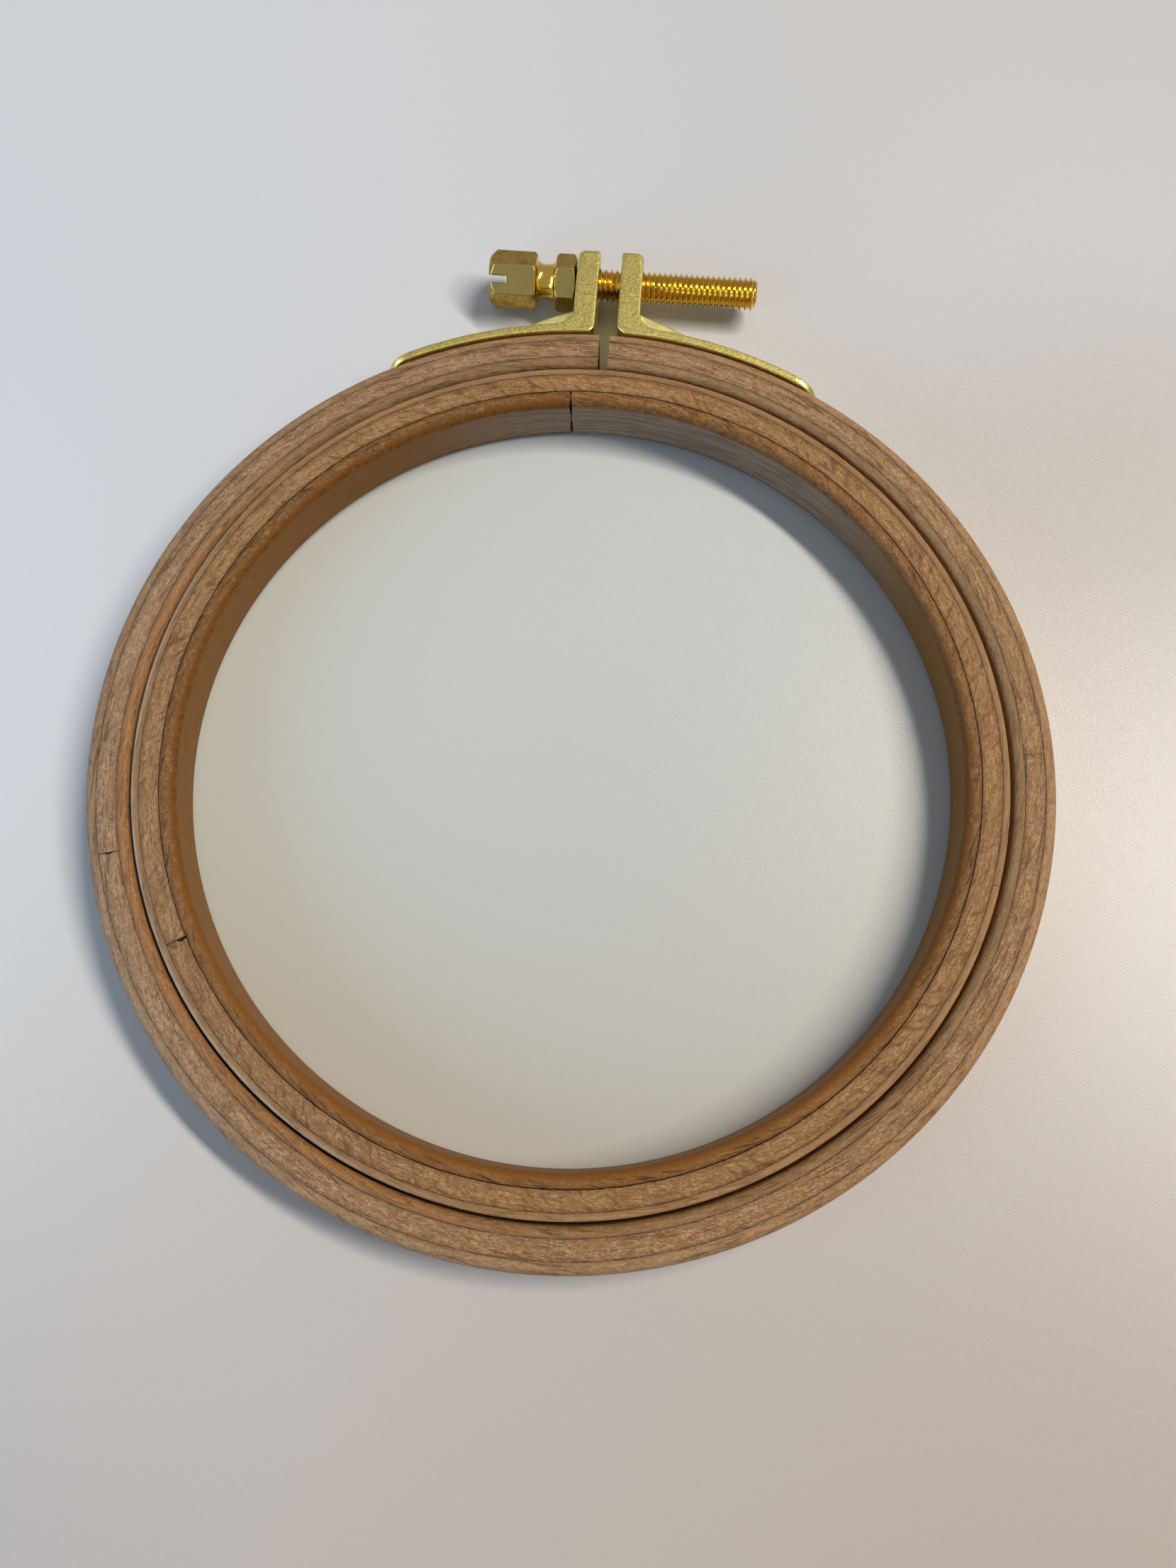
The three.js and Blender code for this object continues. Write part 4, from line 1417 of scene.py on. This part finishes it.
@dataclass
class Studio:
    """The pale table, the soft lamps, the room around them and the camera."""

    camera_place: Triple = (5.85, -35.68, 141.01)
    camera_turn: Triple = (13.89, 0.429, 4.371)
    camera_near: float = 0.005
    lens: float = 27.49
    sensor: float = 36.0
    lamps: tuple[Lamp, ...] = (
        Lamp("key", 12.0, 55.3, 2.4, (1.7, 0.22), 60.0, (1.0, 0.93, 0.82), turn=142.0),
        Lamp("fill", 215.0, 24.0, 0.45, (0.3, 0.2), 0.7, (0.41, 0.68, 1.0)),
        Lamp("window", 188.0, 32.0, 1.0, (0.5, 0.5), 5.0, (0.8, 0.93, 1.0), glint=True))
    room_colour: Colour = (1.0, 0.95, 0.92)
    room_strength: float = 0.17
    walls_colour: Colour = (1.0, 0.99, 0.95)
    walls_strength: float = 0.45
    table_size: float = 6.0
    table_colours: tuple[Colour, Colour] = (rgb(220, 226, 236), rgb(215, 221, 231))
    table_width: tuple[float, float] = (-80.0, 95.0)
    table_depth: tuple[float, float] = (75.0, -130.0)
    # Painted light on the table: warmer to the right and, below, warmer and darker towards the near edge.
    table_right_painted_light: Colour = (0.88, 0.81, 0.74)
    table_near_painted_shade: Colour = (0.8, 0.7, 0.6)
    # Painted light and shade: broad patches where the room's light is brighter or falls off, one a darker
    # corner at the bottom left.
    table_painted_light_patches: tuple[tuple[float, float, float, Colour], ...] = (
        (-85.0, -15.0, 75.0, (1.06, 1.12, 1.15)),
        (-85.0, -115.0, 75.0, (0.82, 0.83, 0.92)),
        (70.0, 30.0, 50.0, (0.84, 0.81, 0.77)),
        (70.0, 85.0, 60.0, (1.04, 1.06, 1.09)))
    # Painted light: a tint over the table inside the ring.
    table_inside_painted_light: Colour = (0.945, 0.99, 0.955)
    table_bounce: Colour = (0.95, 0.9, 0.82)
    table_speckle: float = 1.6
    table_pimples: float = 6.0
    table_relief: float = 0.026
    table_rough: float = 0.3
    table_shine: float = 0.5
    ring_centre: float = -6.36
    throat: float = 46.0

    def camera(self, centre: Vector) -> None:
        """Sets the camera over the rings, where the photograph was taken from."""
        data = bpy.data.cameras.new("camera")
        data.lens = self.lens
        data.sensor_width = self.sensor
        data.clip_start = self.camera_near
        camera = bpy.data.objects.new("camera", data)
        bpy.context.scene.collection.objects.link(camera)
        camera.location = (centre + Vector(self.camera_place)) * MM
        camera.rotation_euler = tuple(math.radians(angle) for angle in self.camera_turn)
        bpy.context.scene.camera = camera

    @staticmethod
    def distance(shader: Shader, x: Value, y: Value) -> Value:
        """The length of a level vector."""
        return shader.math("SQRT", x * x + y * y)

    def table(self) -> None:
        """The pale table, a plane with a faint grain and painted light: warmer to the right, warmer and
        darker towards the near edge, some patches brighter and some darker where the room's light falls, a
        tint inside the ring and the light that the wood throws on it.
        """
        table = Bench.fresh("table", bpy.ops.mesh.primitive_plane_add, size=self.table_size)
        shader = Shader("pale_table")
        place = shader.place()
        x, y, _ = shader.parts(place)
        speckle = shader.pattern(place, even(self.table_speckle))
        colour = shader.mix(speckle * 0.5, *self.table_colours)
        # Painted light: warmer to the right, warmer and darker towards the near edge, and in patches.
        colour = shader.tint(x.ramp(*self.table_width), colour, self.table_right_painted_light)
        colour = shader.tint(y.ramp(*self.table_depth), colour, self.table_near_painted_shade)
        for patch_x, patch_y, size, by in self.table_painted_light_patches:
            reach = self.distance(shader, x - patch_x, y - patch_y)
            colour = shader.tint(reach.ramp(size, 0.0), colour, by)
        # Painted light inside the ring, and the painted bounce from the wood near its wall.
        reach = self.distance(shader, x, y - self.ring_centre)
        within = reach.ramp(self.throat + 0.2, self.throat - 0.2)
        colour = shader.tint(within, colour, self.table_inside_painted_light)
        bounce = reach.ramp(10.0, self.throat) * within * x.ramp(25.0, -40.0)
        colour = shader.tint(bounce, colour, self.table_bounce)
        pimples = shader.pattern(place, even(self.table_pimples), detail=2.0)
        shader.set(Base_Color=colour, Roughness=self.table_rough, Specular_IOR_Level=self.table_shine)
        shader.relief(pimples, self.table_relief)
        table.data.materials.append(shader.material)

    def world(self) -> None:
        """Soft light from all round, with paler walls where they are seen or mirrored."""
        world = bpy.data.worlds.new("room")
        bpy.context.scene.world = world
        world.use_nodes = True
        tree = world.node_tree
        walls = tree.nodes.new("ShaderNodeBackground")
        for node, colour, strength in (
                (tree.nodes["Background"], self.room_colour, self.room_strength),
                (walls, self.walls_colour, self.walls_strength)):
            node.inputs["Color"].default_value = (*colour, 1.0)
            node.inputs["Strength"].default_value = strength
        path = tree.nodes.new("ShaderNodeLightPath")
        seen = tree.nodes.new("ShaderNodeMath")
        seen.operation = "MAXIMUM"
        tree.links.new(path.outputs["Is Camera Ray"], seen.inputs[0])
        tree.links.new(path.outputs["Is Glossy Ray"], seen.inputs[1])
        mix = tree.nodes.new("ShaderNodeMixShader")
        for number, node in enumerate((seen, tree.nodes["Background"], walls)):
            tree.links.new(node.outputs[0], mix.inputs[number])
        tree.links.new(mix.outputs[0], tree.nodes["World Output"].inputs[0])

    def build(self, centre: Vector) -> None:
        """Sets up the camera about the ring's centre in millimetres, then table and light."""
        self.camera(centre)
        self.table()
        self.world()
        for lamp in self.lamps:
            lamp.hang()
        bpy.context.scene.view_settings.view_transform = "Standard"


def main() -> None:
    """Loads the frame and builds the hoop and its studio in order."""
    logging.basicConfig(level=logging.INFO, format="%(name)s: %(message)s")
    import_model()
    rings = Rings()
    centre = rings.outer_centre()
    Studio().build(centre)
    rings.build()
    # The cast brass's bright colour is its painted sheen, laid on its lower parts.
    cast = CastBrass("cast_brass", metal=rgb(206, 190, 116), tarnish=rgb(168, 152, 86),
                     bright=rgb(238, 230, 160), polish=0.34, dull=0.5, grain=7.0, relief=0.025)
    turned = TurnedBrass("turned_brass", metal=rgb(184, 148, 60), tarnish=rgb(126, 98, 38),
                         bright=rgb(222, 186, 92), polish=0.24, dull=0.48, grain=5.0, relief=0.008)
    for name, side, heel in (("left_bracket", Side.LEFT, 1.0), ("right_bracket", Side.RIGHT, 1.4)):
        Bracket(name, side, heel, cast).build(centre)
    Pins(turned).build(centre)
    ClampScrew(turned).build(centre)


if __name__ == "__main__":
    main()
